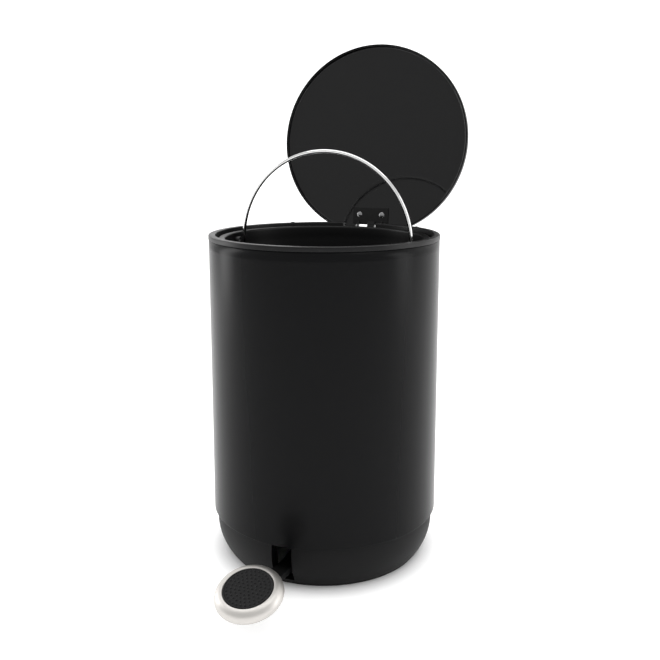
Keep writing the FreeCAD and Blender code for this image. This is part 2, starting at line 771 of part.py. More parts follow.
def lid_hinge_rivets():
    """Two bright rivets that hold the bracket to the lid's inner skin."""
    rivets = []
    for index, side in enumerate((-1, 1)):
        across = f"{side} * rivet_half"
        head = cylinder(f"lid_head_{index}", "rivet_head_radius", "rivet_head",
                        (across, "rivet_y", "lid_face - cheek_thick - rivet_head"))
        shank = cylinder(f"lid_shank_{index}", "rivet_radius", "cheek_thick + liner_wall",
                         (across, "rivet_y", "lid_face - cheek_thick"))
        rivets.append(fused(f"lid_rivet_{index}", [head, shank]))
    return keep("lid_hinge_rivets", grouped("lid_rivets", rivets), lid_pose())


# --- the lid -------------------------------------------------------------------------------------

def lid_notch(body, name):
    cut(body, name, "XY_Plane",
        box_corners("-lid_notch_half", "lid_notch_y", "lid_notch_half", "lid_radius + 5"),
        "rim_top", "lid_top + 5")


def lid_cover():
    """Pressed lid: slightly crowned top and a rounded edge turned down."""
    body = new_body("cover")
    revolve(body, "cover_section", [
        ("0", "lid_top + lid_crown - lid_wall"),
        ("lid_radius - lid_edge", "lid_top - lid_wall"),
        ("lid_radius - lid_wall", "lid_top - lid_edge"),
        ("lid_radius - lid_wall", "lid_bottom"),
        ("lid_radius", "lid_bottom"),
        ("lid_radius", "lid_top - lid_edge"),
        ("lid_radius - lid_edge", "lid_top", "lid_edge"),
        ("0", "lid_top + lid_crown"),
    ])
    lid_notch(body, "cover_notch")
    return keep("lid_cover", body, lid_pose())


def lid_liner():
    """Moulded inner skin: a flat glossy disc with a low rim inside the cover's edge."""
    body = new_body("liner")
    outer = "lid_radius - lid_wall - fit_gap"
    revolve(body, "liner_section", [
        ("0", "lid_face"),
        (f"{outer} - liner_wall", "lid_face"),
        (f"{outer} - liner_wall / 2", "lid_bottom + liner_set"),
        (outer, "lid_bottom + liner_set"),
        (outer, "lid_face + liner_wall"),
        ("0", "lid_face + liner_wall"),
    ])
    lid_notch(body, "liner_notch")
    for name, across in (("left_hole", "-rivet_half"), ("right_hole", "rivet_half")):
        drill(body, name, "XY_Plane", across, "rivet_y", "rivet_radius",
              "lid_face - 1", "lid_face + liner_wall + 1")
    return keep("lid_liner", body, lid_pose())


# --- the push rod --------------------------------------------------------------------------------

def push_rod():
    """Steel rod: hooked through the crank at the top, jogged in past the bucket, down to the lever."""
    top = rod_top()
    side = -size("rod_x")
    foot_y = size("rod_foot_y")
    foot = size("pivot_z") + rod_travel() / 2 - size("rod_tail")
    vector = FreeCAD.Vector
    points = [
        vector(size("tongue_half + rod_end"), top.y, top.z),
        vector(side, top.y, top.z),
        vector(side, top.y, size("rod_jog_top")),
        vector(side, foot_y, size("rod_jog_bottom")),
        vector(side, foot_y, foot),
    ]
    bend = size("rod_bend")
    rod = doc.addObject("Part::Feature", "rod")
    rod.Shape = bent_wire(points, (bend, 4 * bend, 4 * bend), size("rod_radius"))
    return keep("push_rod", rod)


def rod_collars():
    """Two push-on collars, above and below the lever's rear end, that pass its lift to the rod."""
    middle = size("pivot_z") + rod_travel() / 2
    clear = size("lever_thick / 2 + rod_play")
    thick = size("collar_thick")
    rings = []
    for index, low in enumerate((middle + clear, middle - clear - thick)):
        rings.append(washer(f"rod_collar_{index}", "collar_radius", "rod_radius", "collar_thick",
                            ("-rod_x", "rod_foot_y", f"{low:.4f}")))
    return keep("rod_collars", grouped("collars", rings))


def rod_cap():
    """Push-on cap that keeps the rod's hooked end in the crank."""
    top = rod_top()
    ring = washer("crank_cap", "rod_radius + cap_width", "rod_radius", "clip_thick",
                  ("tongue_half + cap_gap", f"{top.y:.4f}", f"{top.z:.4f}"), TURN_TO_X)
    return keep("rod_cap", ring)


# --- the lever and pedal -------------------------------------------------------------------------

def seat_point(along, up):
    """A point on the pedal's own axes, given in the lever's side view."""
    across = f"(pivot_y - pedal_reach + ({along}) * cos(pedal_tilt) - ({up}) * sin(pedal_tilt))"
    return across, f"(pedal_rise + ({along}) * sin(pedal_tilt) + ({up}) * cos(pedal_tilt))"


def seat_cylinder(name, radius, low, high):
    """A cylinder about the pedal's axis between two levels measured from the pedal's middle."""
    disc = doc.addObject("Part::Cylinder", name)
    disc.setExpression("Radius", bound(radius))
    disc.setExpression("Height", bound(f"({high}) - ({low})"))
    turn = FreeCAD.Rotation(FreeCAD.Vector(1, 0, 0), size("pedal_tilt"))
    foot = turn.multVec(FreeCAD.Vector(0, 0, size(low)))
    middle = FreeCAD.Vector(0, size("pivot_y - pedal_reach"), size("pedal_rise"))
    disc.Placement = FreeCAD.Placement(middle + foot, turn)
    return disc


def pedal_lever():
    """Flat lever on a cross pin: a slot at its rear end, an arm that rises outside the base, and a
    round seat under the pedal."""
    body = new_body("lever")
    end = "rod_foot_y + pivot_y + lever_end"
    knee = "pivot_y - base_foot_radius + knee_inset"
    under = "-pedal_height / 2 - seat_thick"
    pad(body, "lever_bar", "YZ_Plane", [
        (end, "-lever_thick / 2"),
        (end, "lever_thick / 2"),
        (knee, "lever_thick / 2"),
        seat_point("0.6 * seat_radius", "-pedal_height / 2 - seat_thick / 6"),
        seat_point("-0.7 * seat_radius", "-pedal_height / 2 - seat_thick / 6"),
        seat_point("-0.7 * seat_radius", under),
        seat_point("0.4 * seat_radius", f"{under} - seat_thick / 2"),
        (knee, "-lever_thick / 2"),
    ], "-lever_half", "lever_half")
    pad_round(body, "pivot_tube", "YZ_Plane", "0", "0", "pivot_boss", "-lever_half", "lever_half")
    drill(body, "pivot_bore", "YZ_Plane", "0", "0", "pivot_pin_radius + run_gap",
          "-lever_half - 1", "lever_half + 1")
    middle = "rod_foot_y + pivot_y"
    reach = "rod_radius + slot_play"
    cut(body, "rod_slot", "XY_Plane",
        box_corners(f"-rod_x - ({reach})", f"{middle} - rod_radius - slot_back",
                    f"-rod_x + {reach}", f"{middle} + rod_radius + slot_front"),
        "-lever_thick", "lever_thick")
    seat = seat_cylinder("pedal_seat", "seat_radius", under, "-pedal_height / 2")
    bore = seat_cylinder("screw_bore", "screw_radius + run_gap", f"{under} - seat_thick", "0")
    sink = seat_cylinder("screw_sink", "screw_head_radius + fit_gap", f"{under} - 4 * seat_thick",
                         under)
    lever = doc.addObject("Part::Cut", "lever_bored")
    lever.Base = fused("lever_with_seat", [body, seat])
    lever.Tool = fused("screw_room", [bore, sink])
    return keep("pedal_lever", lever, lever_pose())


def pedal_cup():
    """Round steel pedal with a fat rounded edge and a shallow recess for the pad."""
    body = new_body("cup")
    half = "pedal_height / 2"
    revolve(body, "cup_section", [
        ("screw_radius", f"-{half}"),
        ("0.72 * pedal_radius", f"-{half}"),
        ("pedal_radius", "-0.08 * pedal_height", "0.34 * pedal_radius"),
        ("pad_radius + pad_gap + cup_lip", half, "0.34 * pedal_radius"),
        ("pad_radius + pad_gap", f"{half} - cup_lip / 4"),
        ("pad_radius + pad_gap", "pad_low"),
        ("screw_radius", "pad_low"),
    ])
    return keep("pedal_cup", body, pedal_pose())


def pedal_pad():
    """Rubber disc set in the pedal's recess, standing a little proud."""
    body = new_body("pad")
    revolve(body, "pad_section", [
        ("0", "pad_low"),
        ("pad_radius", "pad_low"),
        ("pad_radius", "pad_low + 0.8 * pad_thick"),
        ("0.94 * pad_radius", "pad_low + 0.9 * pad_thick"),
        ("0", "pad_low + pad_thick"),
    ])
    return keep("pedal_pad", body, pedal_pose())


def pedal_screw():
    """Screw from under the lever into the pedal."""
    seat = "-pedal_height / 2 - seat_thick"
    head = cylinder("screw_head_disc", "screw_head_radius", "screw_head",
                    ("0", "0", f"{seat} - screw_head"))
    shank = cylinder("screw_shank", "screw_radius", "seat_thick + pedal_height / 2",
                     ("0", "0", seat))
    return keep("pedal_screw", fused("seat_screw", [head, shank]), pedal_pose())


def pivot_pin():
    """Axle of the lever in the base's two lugs."""
    reach = "lug_inner + lug_thick + pin_end"
    pin = cylinder("lever_pin", "pivot_pin_radius", f"2 * ({reach})",
                   (f"-({reach})", "-pivot_y", "pivot_z"), TURN_TO_X)
    return keep("pivot_pin", pin)


def pivot_pin_clips():
    """Spring clips at both ends of the lever's axle."""
    clips = []
    near = "lug_inner + lug_thick + clip_gap"
    for index, start in enumerate((f"-({near} + clip_thick)", near)):
        clips.append(washer(f"lever_pin_clip_{index}", "pivot_pin_radius + clip_width",
                            "pivot_pin_radius", "clip_thick", (start, "-pivot_y", "pivot_z"),
                            TURN_TO_X))
    return keep("pivot_pin_clips", grouped("lever_pin_clips", clips))


def build():
    base_housing()
    floor_ring()
    outer_shell()
    rim_ring()
    rim_bumpers()
    rod_guides()
    inner_bucket()
    bail_handle()
    body_hinge_bracket()
    body_hinge_rivets()
    hinge_pin()
    hinge_pin_clips()
    lid_hinge_bracket()
    lid_hinge_rivets()
    lid_cover()
    lid_liner()
    push_rod()
    rod_collars()
    rod_cap()
    pedal_lever()
    pedal_cup()
    pedal_pad()
    pedal_screw()
    pivot_pin()
    pivot_pin_clips()
    doc.recompute()


def check():
    """Refuse a failed feature or a shape that isn't sound."""
    for item in doc.Objects:
        if "Invalid" in item.State or "Error" in item.State:
            raise RuntimeError(f"{item.Label} failed: {item.State}")
    for label, piece in NODES.items():
        if piece.Shape.isNull() or not piece.Shape.isValid() or not piece.Shape.Solids:
            raise RuntimeError(f"{label} has no sound shape")


def report_joints():
    """The numbers that the joints need."""
    top = rod_top()
    print(f"hinge y {size('hinge_y'):.3f} z {size('hinge_z'):.3f}")
    print(f"rod top y {top.y:.4f} z {top.z:.4f} travel {rod_travel():.4f}")
    print(f"lever swing {2 * lever_tilt():.5f} deg")
    print(f"bail pivot z {size('ear_z'):.3f}")


def write():
    os.makedirs("parts", exist_ok=True)
    for label, piece in NODES.items():
        piece.Shape.exportStep(f"parts/{label}.step")
        solids = len(piece.Shape.Solids)
        print(f"{label}: {solids} solid(s), {piece.Shape.Volume / 1000:.3f} cm3")


build()
check()
report_joints()
write()
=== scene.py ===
"""Looks of the pedal bin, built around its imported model. Metres, +Z up, pedal towards -Y."""
import json
import math

import bmesh
import bpy
import numpy
from mathutils import Matrix, Vector


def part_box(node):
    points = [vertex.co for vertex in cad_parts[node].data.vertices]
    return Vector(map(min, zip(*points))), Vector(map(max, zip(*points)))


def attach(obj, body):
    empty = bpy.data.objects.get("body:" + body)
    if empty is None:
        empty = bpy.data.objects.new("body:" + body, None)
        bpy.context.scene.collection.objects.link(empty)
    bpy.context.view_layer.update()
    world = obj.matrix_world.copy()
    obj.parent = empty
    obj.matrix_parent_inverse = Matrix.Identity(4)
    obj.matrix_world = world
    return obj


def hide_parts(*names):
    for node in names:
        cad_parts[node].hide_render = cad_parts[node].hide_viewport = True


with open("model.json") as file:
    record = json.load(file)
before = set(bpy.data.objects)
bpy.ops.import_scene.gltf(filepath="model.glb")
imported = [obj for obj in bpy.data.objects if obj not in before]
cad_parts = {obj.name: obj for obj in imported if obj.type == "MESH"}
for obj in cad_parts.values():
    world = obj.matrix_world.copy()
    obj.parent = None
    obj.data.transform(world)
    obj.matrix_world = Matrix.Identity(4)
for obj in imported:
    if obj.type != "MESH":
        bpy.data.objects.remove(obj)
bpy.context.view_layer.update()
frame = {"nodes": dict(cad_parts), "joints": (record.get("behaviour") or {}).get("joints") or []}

# --- Base housing ---------------------------------------------------------------------------------
# One black polypropylene moulding with a fine spark grain. It carries the shell on its collar and
# has a slot at the front for the lever. The shape is the CAD's; the finish is made here.

MM = 0.001
FULL_TURN = 2 * math.pi
PLASTIC_DUST = (0.16, 0.155, 0.15, 1)


def socket(tree, label, kind, side, value=None):
    """A named input or output of a node group."""
    made = tree.interface.new_socket(label, in_out=side, socket_type=f"NodeSocket{kind}")
    if value is not None:
        made.default_value = value
    return made


def node(tree, kind, inputs=None, **settings):
    """A node with its settings and its inputs: a number, a colour or another node's output."""
    made = tree.nodes.new(kind)
    for key, value in settings.items():
        setattr(made, key, value)
    for key, value in (inputs or {}).items():
        if isinstance(value, bpy.types.NodeSocket):
            tree.links.new(value, made.inputs[key])
        else:
            made.inputs[key].default_value = value
    return made


def arithmetic(tree, operation, first, second=0.0):
    """Output of a Math node."""
    return node(tree, "ShaderNodeMath", {0: first, 1: second}, operation=operation).outputs[0]


def blended(tree, share, low, high):
    """A colour between two, as a share between 0 and 1 says."""
    made = node(tree, "ShaderNodeMix", {0: share, 6: (*low, 1), 7: (*high, 1)}, data_type="RGBA")
    return made.outputs[2]


def spread(tree, value, low, high):
    """A value from 0 to 1 moved into another range."""
    made = node(tree, "ShaderNodeMapRange", {0: value, 3: low, 4: high})
    return made.outputs[0]


def shader_group(name, inputs, outputs):
    """An empty shader node group with its input and output nodes."""
    tree = bpy.data.node_groups.new(name, "ShaderNodeTree")
    for label, kind, value in inputs:
        socket(tree, label, kind, "INPUT", value)
    for label, kind in outputs:
        socket(tree, label, kind, "OUTPUT")
    return tree, node(tree, "NodeGroupInput").outputs, node(tree, "NodeGroupOutput").inputs


def make_moulded_grain():
    """Spark grain of a mould, and the slow clouding of the plastic's gloss."""
    tree, given, result = shader_group(
        "moulded_grain",
        [("Vector", "Vector", None), ("Grain size", "Float", 0.0006)],
        [("Height", "Float"), ("Cloud", "Float")])
    fine = node(tree, "ShaderNodeTexVoronoi", {
        "Vector": given["Vector"], "Scale": arithmetic(tree, "DIVIDE", 1.0, given["Grain size"])},
        feature="SMOOTH_F1")
    speck = node(tree, "ShaderNodeTexNoise", {
        "Vector": given["Vector"], "Detail": 4.0, "Roughness": 0.7,
        "Scale": arithmetic(tree, "DIVIDE", 0.6, given["Grain size"])})
    cloud = node(tree, "ShaderNodeTexNoise", {
        "Vector": given["Vector"], "Detail": 3.0, "Roughness": 0.6, "Scale": 22.0})
    tree.links.new(arithmetic(tree, "ADD", fine.outputs["Distance"], speck.outputs[0]),
                   result["Height"])
    tree.links.new(cloud.outputs[0], result["Cloud"])
    return tree


def make_dust():
    """Loose dust: more where a surface faces up, broken into patches and single specks."""
    tree, given, result = shader_group(
        "dust", [("Vector", "Vector", None), ("Amount", "Float", 0.1)], [("Mask", "Float")])
    normal = node(tree, "ShaderNodeNewGeometry").outputs["Normal"]
    up = node(tree, "ShaderNodeSeparateXYZ", {0: normal})
    facing = node(tree, "ShaderNodeMapRange", {0: up.outputs[2], 1: 0.2, 2: 1.0})
    patch = node(tree, "ShaderNodeTexNoise", {
        "Vector": given["Vector"], "Detail": 5.0, "Roughness": 0.65, "Scale": 34.0})
    specks = node(tree, "ShaderNodeTexVoronoi", {"Vector": given["Vector"], "Scale": 420.0})
    near = node(tree, "ShaderNodeMapRange", {0: specks.outputs["Distance"], 1: 0.16, 2: 0.05})
    loose = arithmetic(tree, "MULTIPLY", facing.outputs[0], patch.outputs[0])
    sprinkled = arithmetic(tree, "MULTIPLY", near.outputs[0], patch.outputs[0])
    both = arithmetic(tree, "ADD", loose, arithmetic(tree, "MULTIPLY", sprinkled, 1.4))
    clean = arithmetic(tree, "MULTIPLY", both, given["Amount"])
    tree.links.new(node(tree, "ShaderNodeClamp", {0: clean}).outputs[0], result["Mask"])
    return tree


moulded_grain = make_moulded_grain()
dust = make_dust()


def placed_group(tree, group, vector, **values):
    """A node group placed in a material, fed with a vector and its own values."""
    made = node(tree, "ShaderNodeGroup", node_tree=group)
    tree.links.new(vector, made.inputs["Vector"])
    for key, value in values.items():
        made.inputs[key.replace("_", " ").capitalize()].default_value = value
    return made.outputs


def new_material(name):
    """An empty material: its tree, its Principled shader's inputs and the Object coordinates."""
    made = bpy.data.materials.new(name)
    made.use_nodes = True
    tree = made.node_tree
    tree.nodes.clear()
    shader = node(tree, "ShaderNodeBsdfPrincipled")
    node(tree, "ShaderNodeOutputMaterial", {"Surface": shader.outputs[0]})
    return made, tree, shader.inputs, node(tree, "ShaderNodeTexCoord").outputs["Object"]


def black_finish(name, low, high, rough, grain_size, grain_depth, specular, dusty,
                 strength=0.35, dust_colour=PLASTIC_DUST):
    """Black plastic, rubber or coat: grain in its surface, clouded gloss and a little dust."""
    made, tree, shader, place = new_material(name)
    grain = placed_group(tree, moulded_grain, place, grain_size=grain_size)
    loose = placed_group(tree, dust, place, amount=dusty)
    base = node(tree, "ShaderNodeMix", {
        0: loose["Mask"], 6: blended(tree, grain["Cloud"], low, high), 7: dust_colour},
        data_type="RGBA")
    tree.links.new(base.outputs[2], shader["Base Color"])
    tree.links.new(spread(tree, grain["Cloud"], *rough), shader["Roughness"])
    bump = node(tree, "ShaderNodeBump", {
        "Height": grain["Height"], "Strength": strength, "Distance": grain_depth})
    tree.links.new(bump.outputs[0], shader["Normal"])
    shader["Specular IOR Level"].default_value = specular
    return made


base_plastic = black_finish("base_plastic", (0.0030, 0.0030, 0.0032), (0.005, 0.005, 0.0052),
                            (0.42, 0.56), 0.0007, 0.00012, 0.12, 0.015)


def dress(name, material):
    """Give a CAD node its finish."""
    piece = frame["nodes"][name]
    piece.data.materials.clear()
    piece.data.materials.append(material)
    return piece


dress("base_housing", base_plastic)
dress("rod_guides", base_plastic)

# --- Floor ring -----------------------------------------------------------------------------------
# A soft black rubber ring pressed under the foot flange, which the bin stands on. It is dull and
# slightly dusty where it meets the floor.

floor_rubber = black_finish("floor_rubber", (0.010, 0.010, 0.010), (0.018, 0.018, 0.018),
                            (0.75, 0.92), 0.0010, 0.00020, 0.25, 0.10)
dress("floor_ring", floor_rubber)

# --- Lever pin and its clips ----------------------------------------------------------------------
# Bright zinc-plated steel: the cross pin in the base's lugs with its two push-on clips. The hinge
# pin and its clips are the same, and the push rod, its collars and cap are drawn steel wire.


def make_brushing():
    """Fine lines left by a belt or a die: long along one way of the given vector, close across."""
    tree, given, result = shader_group(
        "brushing",
        [("Vector", "Vector", None), ("Lines", "Float", 900.0), ("Length", "Float", 12.0)],
        [("Height", "Float"), ("Streak", "Float")])
    parts = node(tree, "ShaderNodeSeparateXYZ", {0: given["Vector"]})
    stretched = node(tree, "ShaderNodeCombineXYZ", {
        0: arithmetic(tree, "MULTIPLY", parts.outputs[0], given["Length"]),
        1: arithmetic(tree, "MULTIPLY", parts.outputs[1], given["Lines"]),
        2: arithmetic(tree, "MULTIPLY", parts.outputs[2], given["Lines"])})
    fine = node(tree, "ShaderNodeTexNoise", {
        "Vector": stretched.outputs[0], "Scale": 1.0, "Detail": 4.0, "Roughness": 0.7})
    wide = node(tree, "ShaderNodeTexNoise", {
        "Vector": stretched.outputs[0], "Scale": 0.22, "Detail": 2.0})
    tree.links.new(fine.outputs[0], result["Height"])
    tree.links.new(wide.outputs[0], result["Streak"])
    return tree


brushing = make_brushing()


def bare_metal(name, low, high, rough, lines, length, depth):
    """Uncoated steel with drawn or brushed lines."""
    made, tree, shader, place = new_material(name)
    lined = placed_group(tree, brushing, place, lines=lines, length=length)
    tree.links.new(blended(tree, lined["Streak"], low, high), shader["Base Color"])
    tree.links.new(spread(tree, lined["Streak"], *rough), shader["Roughness"])
    bump = node(tree, "ShaderNodeBump", {
        "Height": lined["Height"], "Strength": 0.3, "Distance": depth})
    tree.links.new(bump.outputs[0], shader["Normal"])
    shader["Metallic"].default_value = 1.0
    return made


zinc_plate = bare_metal("zinc_plate", (0.55, 0.56, 0.57), (0.72, 0.72, 0.71), (0.20, 0.34),
                        1400.0, 220.0, 0.00002)
drawn_wire = bare_metal("drawn_wire", (0.40, 0.40, 0.40), (0.55, 0.55, 0.54), (0.26, 0.40),
                        1800.0, 300.0, 0.00002)
for name in ("pivot_pin", "pivot_pin_clips", "hinge_pin", "hinge_pin_clips", "pedal_screw"):
    dress(name, zinc_plate)
for name in ("push_rod", "rod_collars", "rod_cap"):
    dress(name, drawn_wire)

# --- Lever ----------------------------------------------------------------------------------------
# Flat steel lever under a satin black coat, on its cross pin, with a round inclined seat for the
# pedal. The coat is a shade glossier than the base's plastic.


COAT_DUST = (0.12, 0.12, 0.115, 1)
COAT_STRENGTH = 0.15

lever_coat = black_finish("lever_coat", (0.004, 0.004, 0.004), (0.007, 0.007, 0.007),
                          (0.34, 0.46), 0.0020, 0.00008, 0.15, 0.01, COAT_STRENGTH, COAT_DUST)
dress("pedal_lever", lever_coat)

# --- Pedal cup ------------------------------------------------------------------------------------
# Round pedal pressed from stainless steel, with a fat rounded edge. It is brushed round its own
# axis to a soft satin and screwed to the lever's seat from below.


ON_AXIS = 1e-9
MERGE_REACH = 1e-7


def node_points(name):
    """The corner points of a CAD node."""
    return numpy.array([tuple(v.co) for v in frame["nodes"][name].data.vertices])


def disc_frame(name):
    """Where a round flat CAD node lies: a matrix from its own axis and centre to the row frame."""
    points = node_points(name)
    centre = points.mean(0)
    _, _, ways = numpy.linalg.svd(points - centre, full_matrices=False)
    up = Vector(ways[2])
    if up.z < 0:
        up.negate()
    across = Vector((1, 0, 0))
    away = up.cross(across).normalized()
    heights = (points - centre) @ numpy.array(up)
    middle = Vector(centre) + up * float((heights.min() + heights.max()) / 2)
    turn = Matrix((across, away, up)).transposed().to_4x4()
    return Matrix.Translation(middle) @ turn, float(numpy.ptp(heights))


def eased(corners, ease, steps=5):
    """A closed outline of (radius, height) corners with each corner rounded off by up to ease."""
    points = []
    for index, corner in enumerate(corners):
        here = Vector(corner[:2])
        back = Vector(corners[index - 1][:2]) - here
        ahead = Vector(corners[(index + 1) % len(corners)][:2]) - here
        radius = corner[2] if len(corner) > 2 else ease
        reach = min(radius, 0.49 * back.length, 0.49 * ahead.length)
        if here.x < ON_AXIS or radius == 0:
            points.append(here)
            continue
        start = here + back.normalized() * reach
        end = here + ahead.normalized() * reach
        for step in range(steps + 1):
            share = step / steps
            points.append(start * (1 - share) ** 2 + here * 2 * share * (1 - share)
                          + end * share ** 2)
    return points


def full_circle(radius, share):
    """Angle of a column that is a share of the way round, the same at every radius."""
    return FULL_TURN * share


def on_circle(radius, angle, height):
    """A point at a radius and angle from the Z axis."""
    return radius * math.cos(angle), radius * math.sin(angle), height


def skinned(shape, rings, outline, closed=True):
    """Walls between the rings of a turned outline, its open ends capped, seams and poles merged."""
    columns = len(rings[0]) if closed else len(rings[0]) - 1
    for index, ring in enumerate(rings):
        before = rings[index - 1]
        if outline[index].x < ON_AXIS and outline[index - 1].x < ON_AXIS:
            continue
        for column in range(columns):
            after = (column + 1) % len(ring)
            shape.faces.new((before[column], before[after], ring[after], ring[column]))
    if not closed:
        shape.faces.new([ring[0] for ring in rings])
        shape.faces.new([ring[-1] for ring in reversed(rings)])
    bmesh.ops.remove_doubles(shape, verts=shape.verts, dist=MERGE_REACH)
    bmesh.ops.recalc_face_normals(shape, faces=shape.faces)
    return shape


def lathed(outline, columns, closed=True, swing=full_circle):
    """Mesh of an outline turned about Z. swing(radius, share) gives each column's angle."""
    shape = bmesh.new()
    count = columns if closed else columns + 1
    rings = [[shape.verts.new(on_circle(point.x, swing(point.x, column / columns), point.y))
              for column in range(count)] for point in outline]
    return skinned(shape, rings, outline, closed)


def to_piece(shape, name, material, sharp=35.0):
    """A bmesh made an object at the origin: smooth faces, with sharp edges past an angle."""
    mesh = bpy.data.meshes.new(name)
    shape.to_mesh(mesh)
    shape.free()
    mesh.materials.append(material)
    mesh.shade_smooth()
    mesh.set_sharp_from_angle(angle=math.radians(sharp))
    piece = bpy.data.objects.new(name, mesh)
    bpy.context.scene.collection.objects.link(piece)
    return piece


def fitted(piece, body, nodes):
    """Ride a piece on its body in the place of CAD nodes, which are hidden."""
    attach(piece, body)
    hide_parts(*nodes)
    return piece


def axis_distance(tree, parts):
    """Distance from the Z axis of a separated vector."""
    return arithmetic(tree, "SQRT", arithmetic(
        tree, "ADD", arithmetic(tree, "MULTIPLY", parts.outputs[0], parts.outputs[0]),
        arithmetic(tree, "MULTIPLY", parts.outputs[1], parts.outputs[1])))


def make_satin_steel():
    """Satin stainless steel, brushed in circles round the pedal's axis."""
    made, tree, shader, place = new_material("satin_steel")
    centred = node(tree, "ShaderNodeMapping", {
        "Vector": place, "Location": tuple(cup_frame.inverted().translation),
        "Rotation": tuple(cup_frame.inverted().to_euler())})
    parts = node(tree, "ShaderNodeSeparateXYZ", {0: centred.outputs[0]})
    angle = arithmetic(tree, "ARCTAN2", parts.outputs[1], parts.outputs[0])
    around = node(tree, "ShaderNodeCombineXYZ", {
        0: angle, 1: axis_distance(tree, parts), 2: parts.outputs[2]})
    lined = placed_group(tree, brushing, around.outputs[0], lines=3000.0, length=6.0)
    tree.links.new(blended(tree, lined["Streak"], (0.52, 0.50, 0.475), (0.62, 0.60, 0.575)),
                   shader["Base Color"])
    tree.links.new(spread(tree, lined["Streak"], 0.40, 0.50), shader["Roughness"])
    bump = node(tree, "ShaderNodeBump", {
        "Height": lined["Height"], "Strength": 0.2, "Distance": 0.00002})
    tree.links.new(bump.outputs[0], shader["Normal"])
    shader["Metallic"].default_value = 1.0
    return made


cup_frame, cup_height = disc_frame("pedal_cup")
CUP_EASE = 0.3 * MM
cup_radius = (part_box("pedal_cup")[1].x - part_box("pedal_cup")[0].x) / 2 - CUP_EASE
pad_frame, pad_height = disc_frame("pedal_pad")
pad_radius = (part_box("pedal_pad")[1].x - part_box("pedal_pad")[0].x) / 2
RECESS_GAP = 0.15 * MM
CUP_EDGE = 0.34 * cup_radius
CUP_FOOT = 0.70 * cup_radius
CUP_BELLY = 0.42 * cup_height
CUP_TURN = math.radians(68)
CUP_LIP = 0.6 * MM
CUP_SLOPE = 0.92
LIP_DROP = 0.5 * MM
PAD_SINK = 0.7
CUP_COLUMNS = 128
BELLY_STEPS = 16
CROWN_STEPS = 18
half_height = cup_height / 2
recess = pad_radius + RECESS_GAP


def cup_section():
    """Half section of the cup: flat foot, fat round edge, and a recess for the pad."""
    floor_level = half_height - pad_height * PAD_SINK
    points = [Vector((0, -half_height)), Vector((CUP_FOOT, -half_height))]
    belly = Vector((cup_radius - CUP_EDGE, -half_height + CUP_BELLY))
    for step in range(1, BELLY_STEPS + 1):
        angle = CUP_TURN * (step / BELLY_STEPS - 1)
        points.append(belly + Vector((CUP_EDGE * math.cos(angle),
                                      CUP_BELLY * math.sin(angle) / math.sin(CUP_TURN))))
    reach = cup_radius - recess - CUP_LIP
    for step in range(1, CROWN_STEPS + 1):
        angle = math.radians(step * 90 / CROWN_STEPS)
        points.append(Vector((recess + CUP_LIP + reach * math.cos(angle) ** CUP_SLOPE,
                              belly.y + (half_height - belly.y) * math.sin(angle))))
    points.append(Vector((recess, half_height - LIP_DROP)))
    points.append(Vector((recess, floor_level)))
    points.append(Vector((0, floor_level)))
    return points


satin_steel = make_satin_steel()
cup = lathed(cup_section(), CUP_COLUMNS)
bmesh.ops.transform(cup, matrix=cup_frame, verts=cup.verts)
fitted(to_piece(cup, "pedal_cup_satin", satin_steel), "lever", ["pedal_cup"])

# --- Pedal pad ------------------------------------------------------------------------------------
# Black rubber disc glued in the cup's recess: a thin raised border, and rows of small round dots in
# rings about its centre. Each dot is moulded with the disc.


def geometry_tree(name, sizes):
    """An empty geometry tree with a named input for each size, and its two end nodes."""
    tree = bpy.data.node_groups.new(name, "GeometryNodeTree")
    socket(tree, "Geometry", "Geometry", "INPUT")
    for label, kind, value in sizes:
        socket(tree, label, kind, "INPUT", value)
    socket(tree, "Geometry", "Geometry", "OUTPUT")
    return tree, node(tree, "NodeGroupInput").outputs, node(tree, "NodeGroupOutput").inputs


def made_by(tree, name, sizes):
    """Run a geometry tree once with its sizes, and keep the result as a plain mesh."""
    piece = bpy.data.objects.new(name, bpy.data.meshes.new(name))
    bpy.context.scene.collection.objects.link(piece)
    modifier = piece.modifiers.new(name, "NODES")
    modifier.node_group = tree
    for item in tree.interface.items_tree:
        if item.in_out == "INPUT" and item.name in sizes:
            modifier[item.identifier] = sizes[item.name]
    bpy.context.view_layer.update()
    evaluated = piece.evaluated_get(bpy.context.evaluated_depsgraph_get())
    mesh = bpy.data.meshes.new_from_object(evaluated)
    piece.modifiers.remove(modifier)
    piece.data = mesh
    return piece


def dots_within(tree, rings):
    """How many dots the centre and this many rings hold: 1 + 3 n (n + 1)."""
    pairs = arithmetic(tree, "MULTIPLY", rings, arithmetic(tree, "ADD", rings, 1.0))
    return arithmetic(tree, "ADD", 1.0, arithmetic(tree, "MULTIPLY", 3.0, pairs))


def put_copies(tree, result, points, shape, material, size=(1, 1, 1)):
    """End of a tree: copies of a shape at points, made real, smooth and given their material."""
    copies = node(tree, "GeometryNodeInstanceOnPoints", {
        "Points": points, "Instance": shape, "Scale": size})
    solid = node(tree, "GeometryNodeRealizeInstances", {0: copies.outputs[0]})
    smooth = node(tree, "GeometryNodeSetShadeSmooth", {0: solid.outputs[0]})
    painted = node(tree, "GeometryNodeSetMaterial", {0: smooth.outputs[0], "Material": material})
    tree.links.new(painted.outputs[0], result["Geometry"])


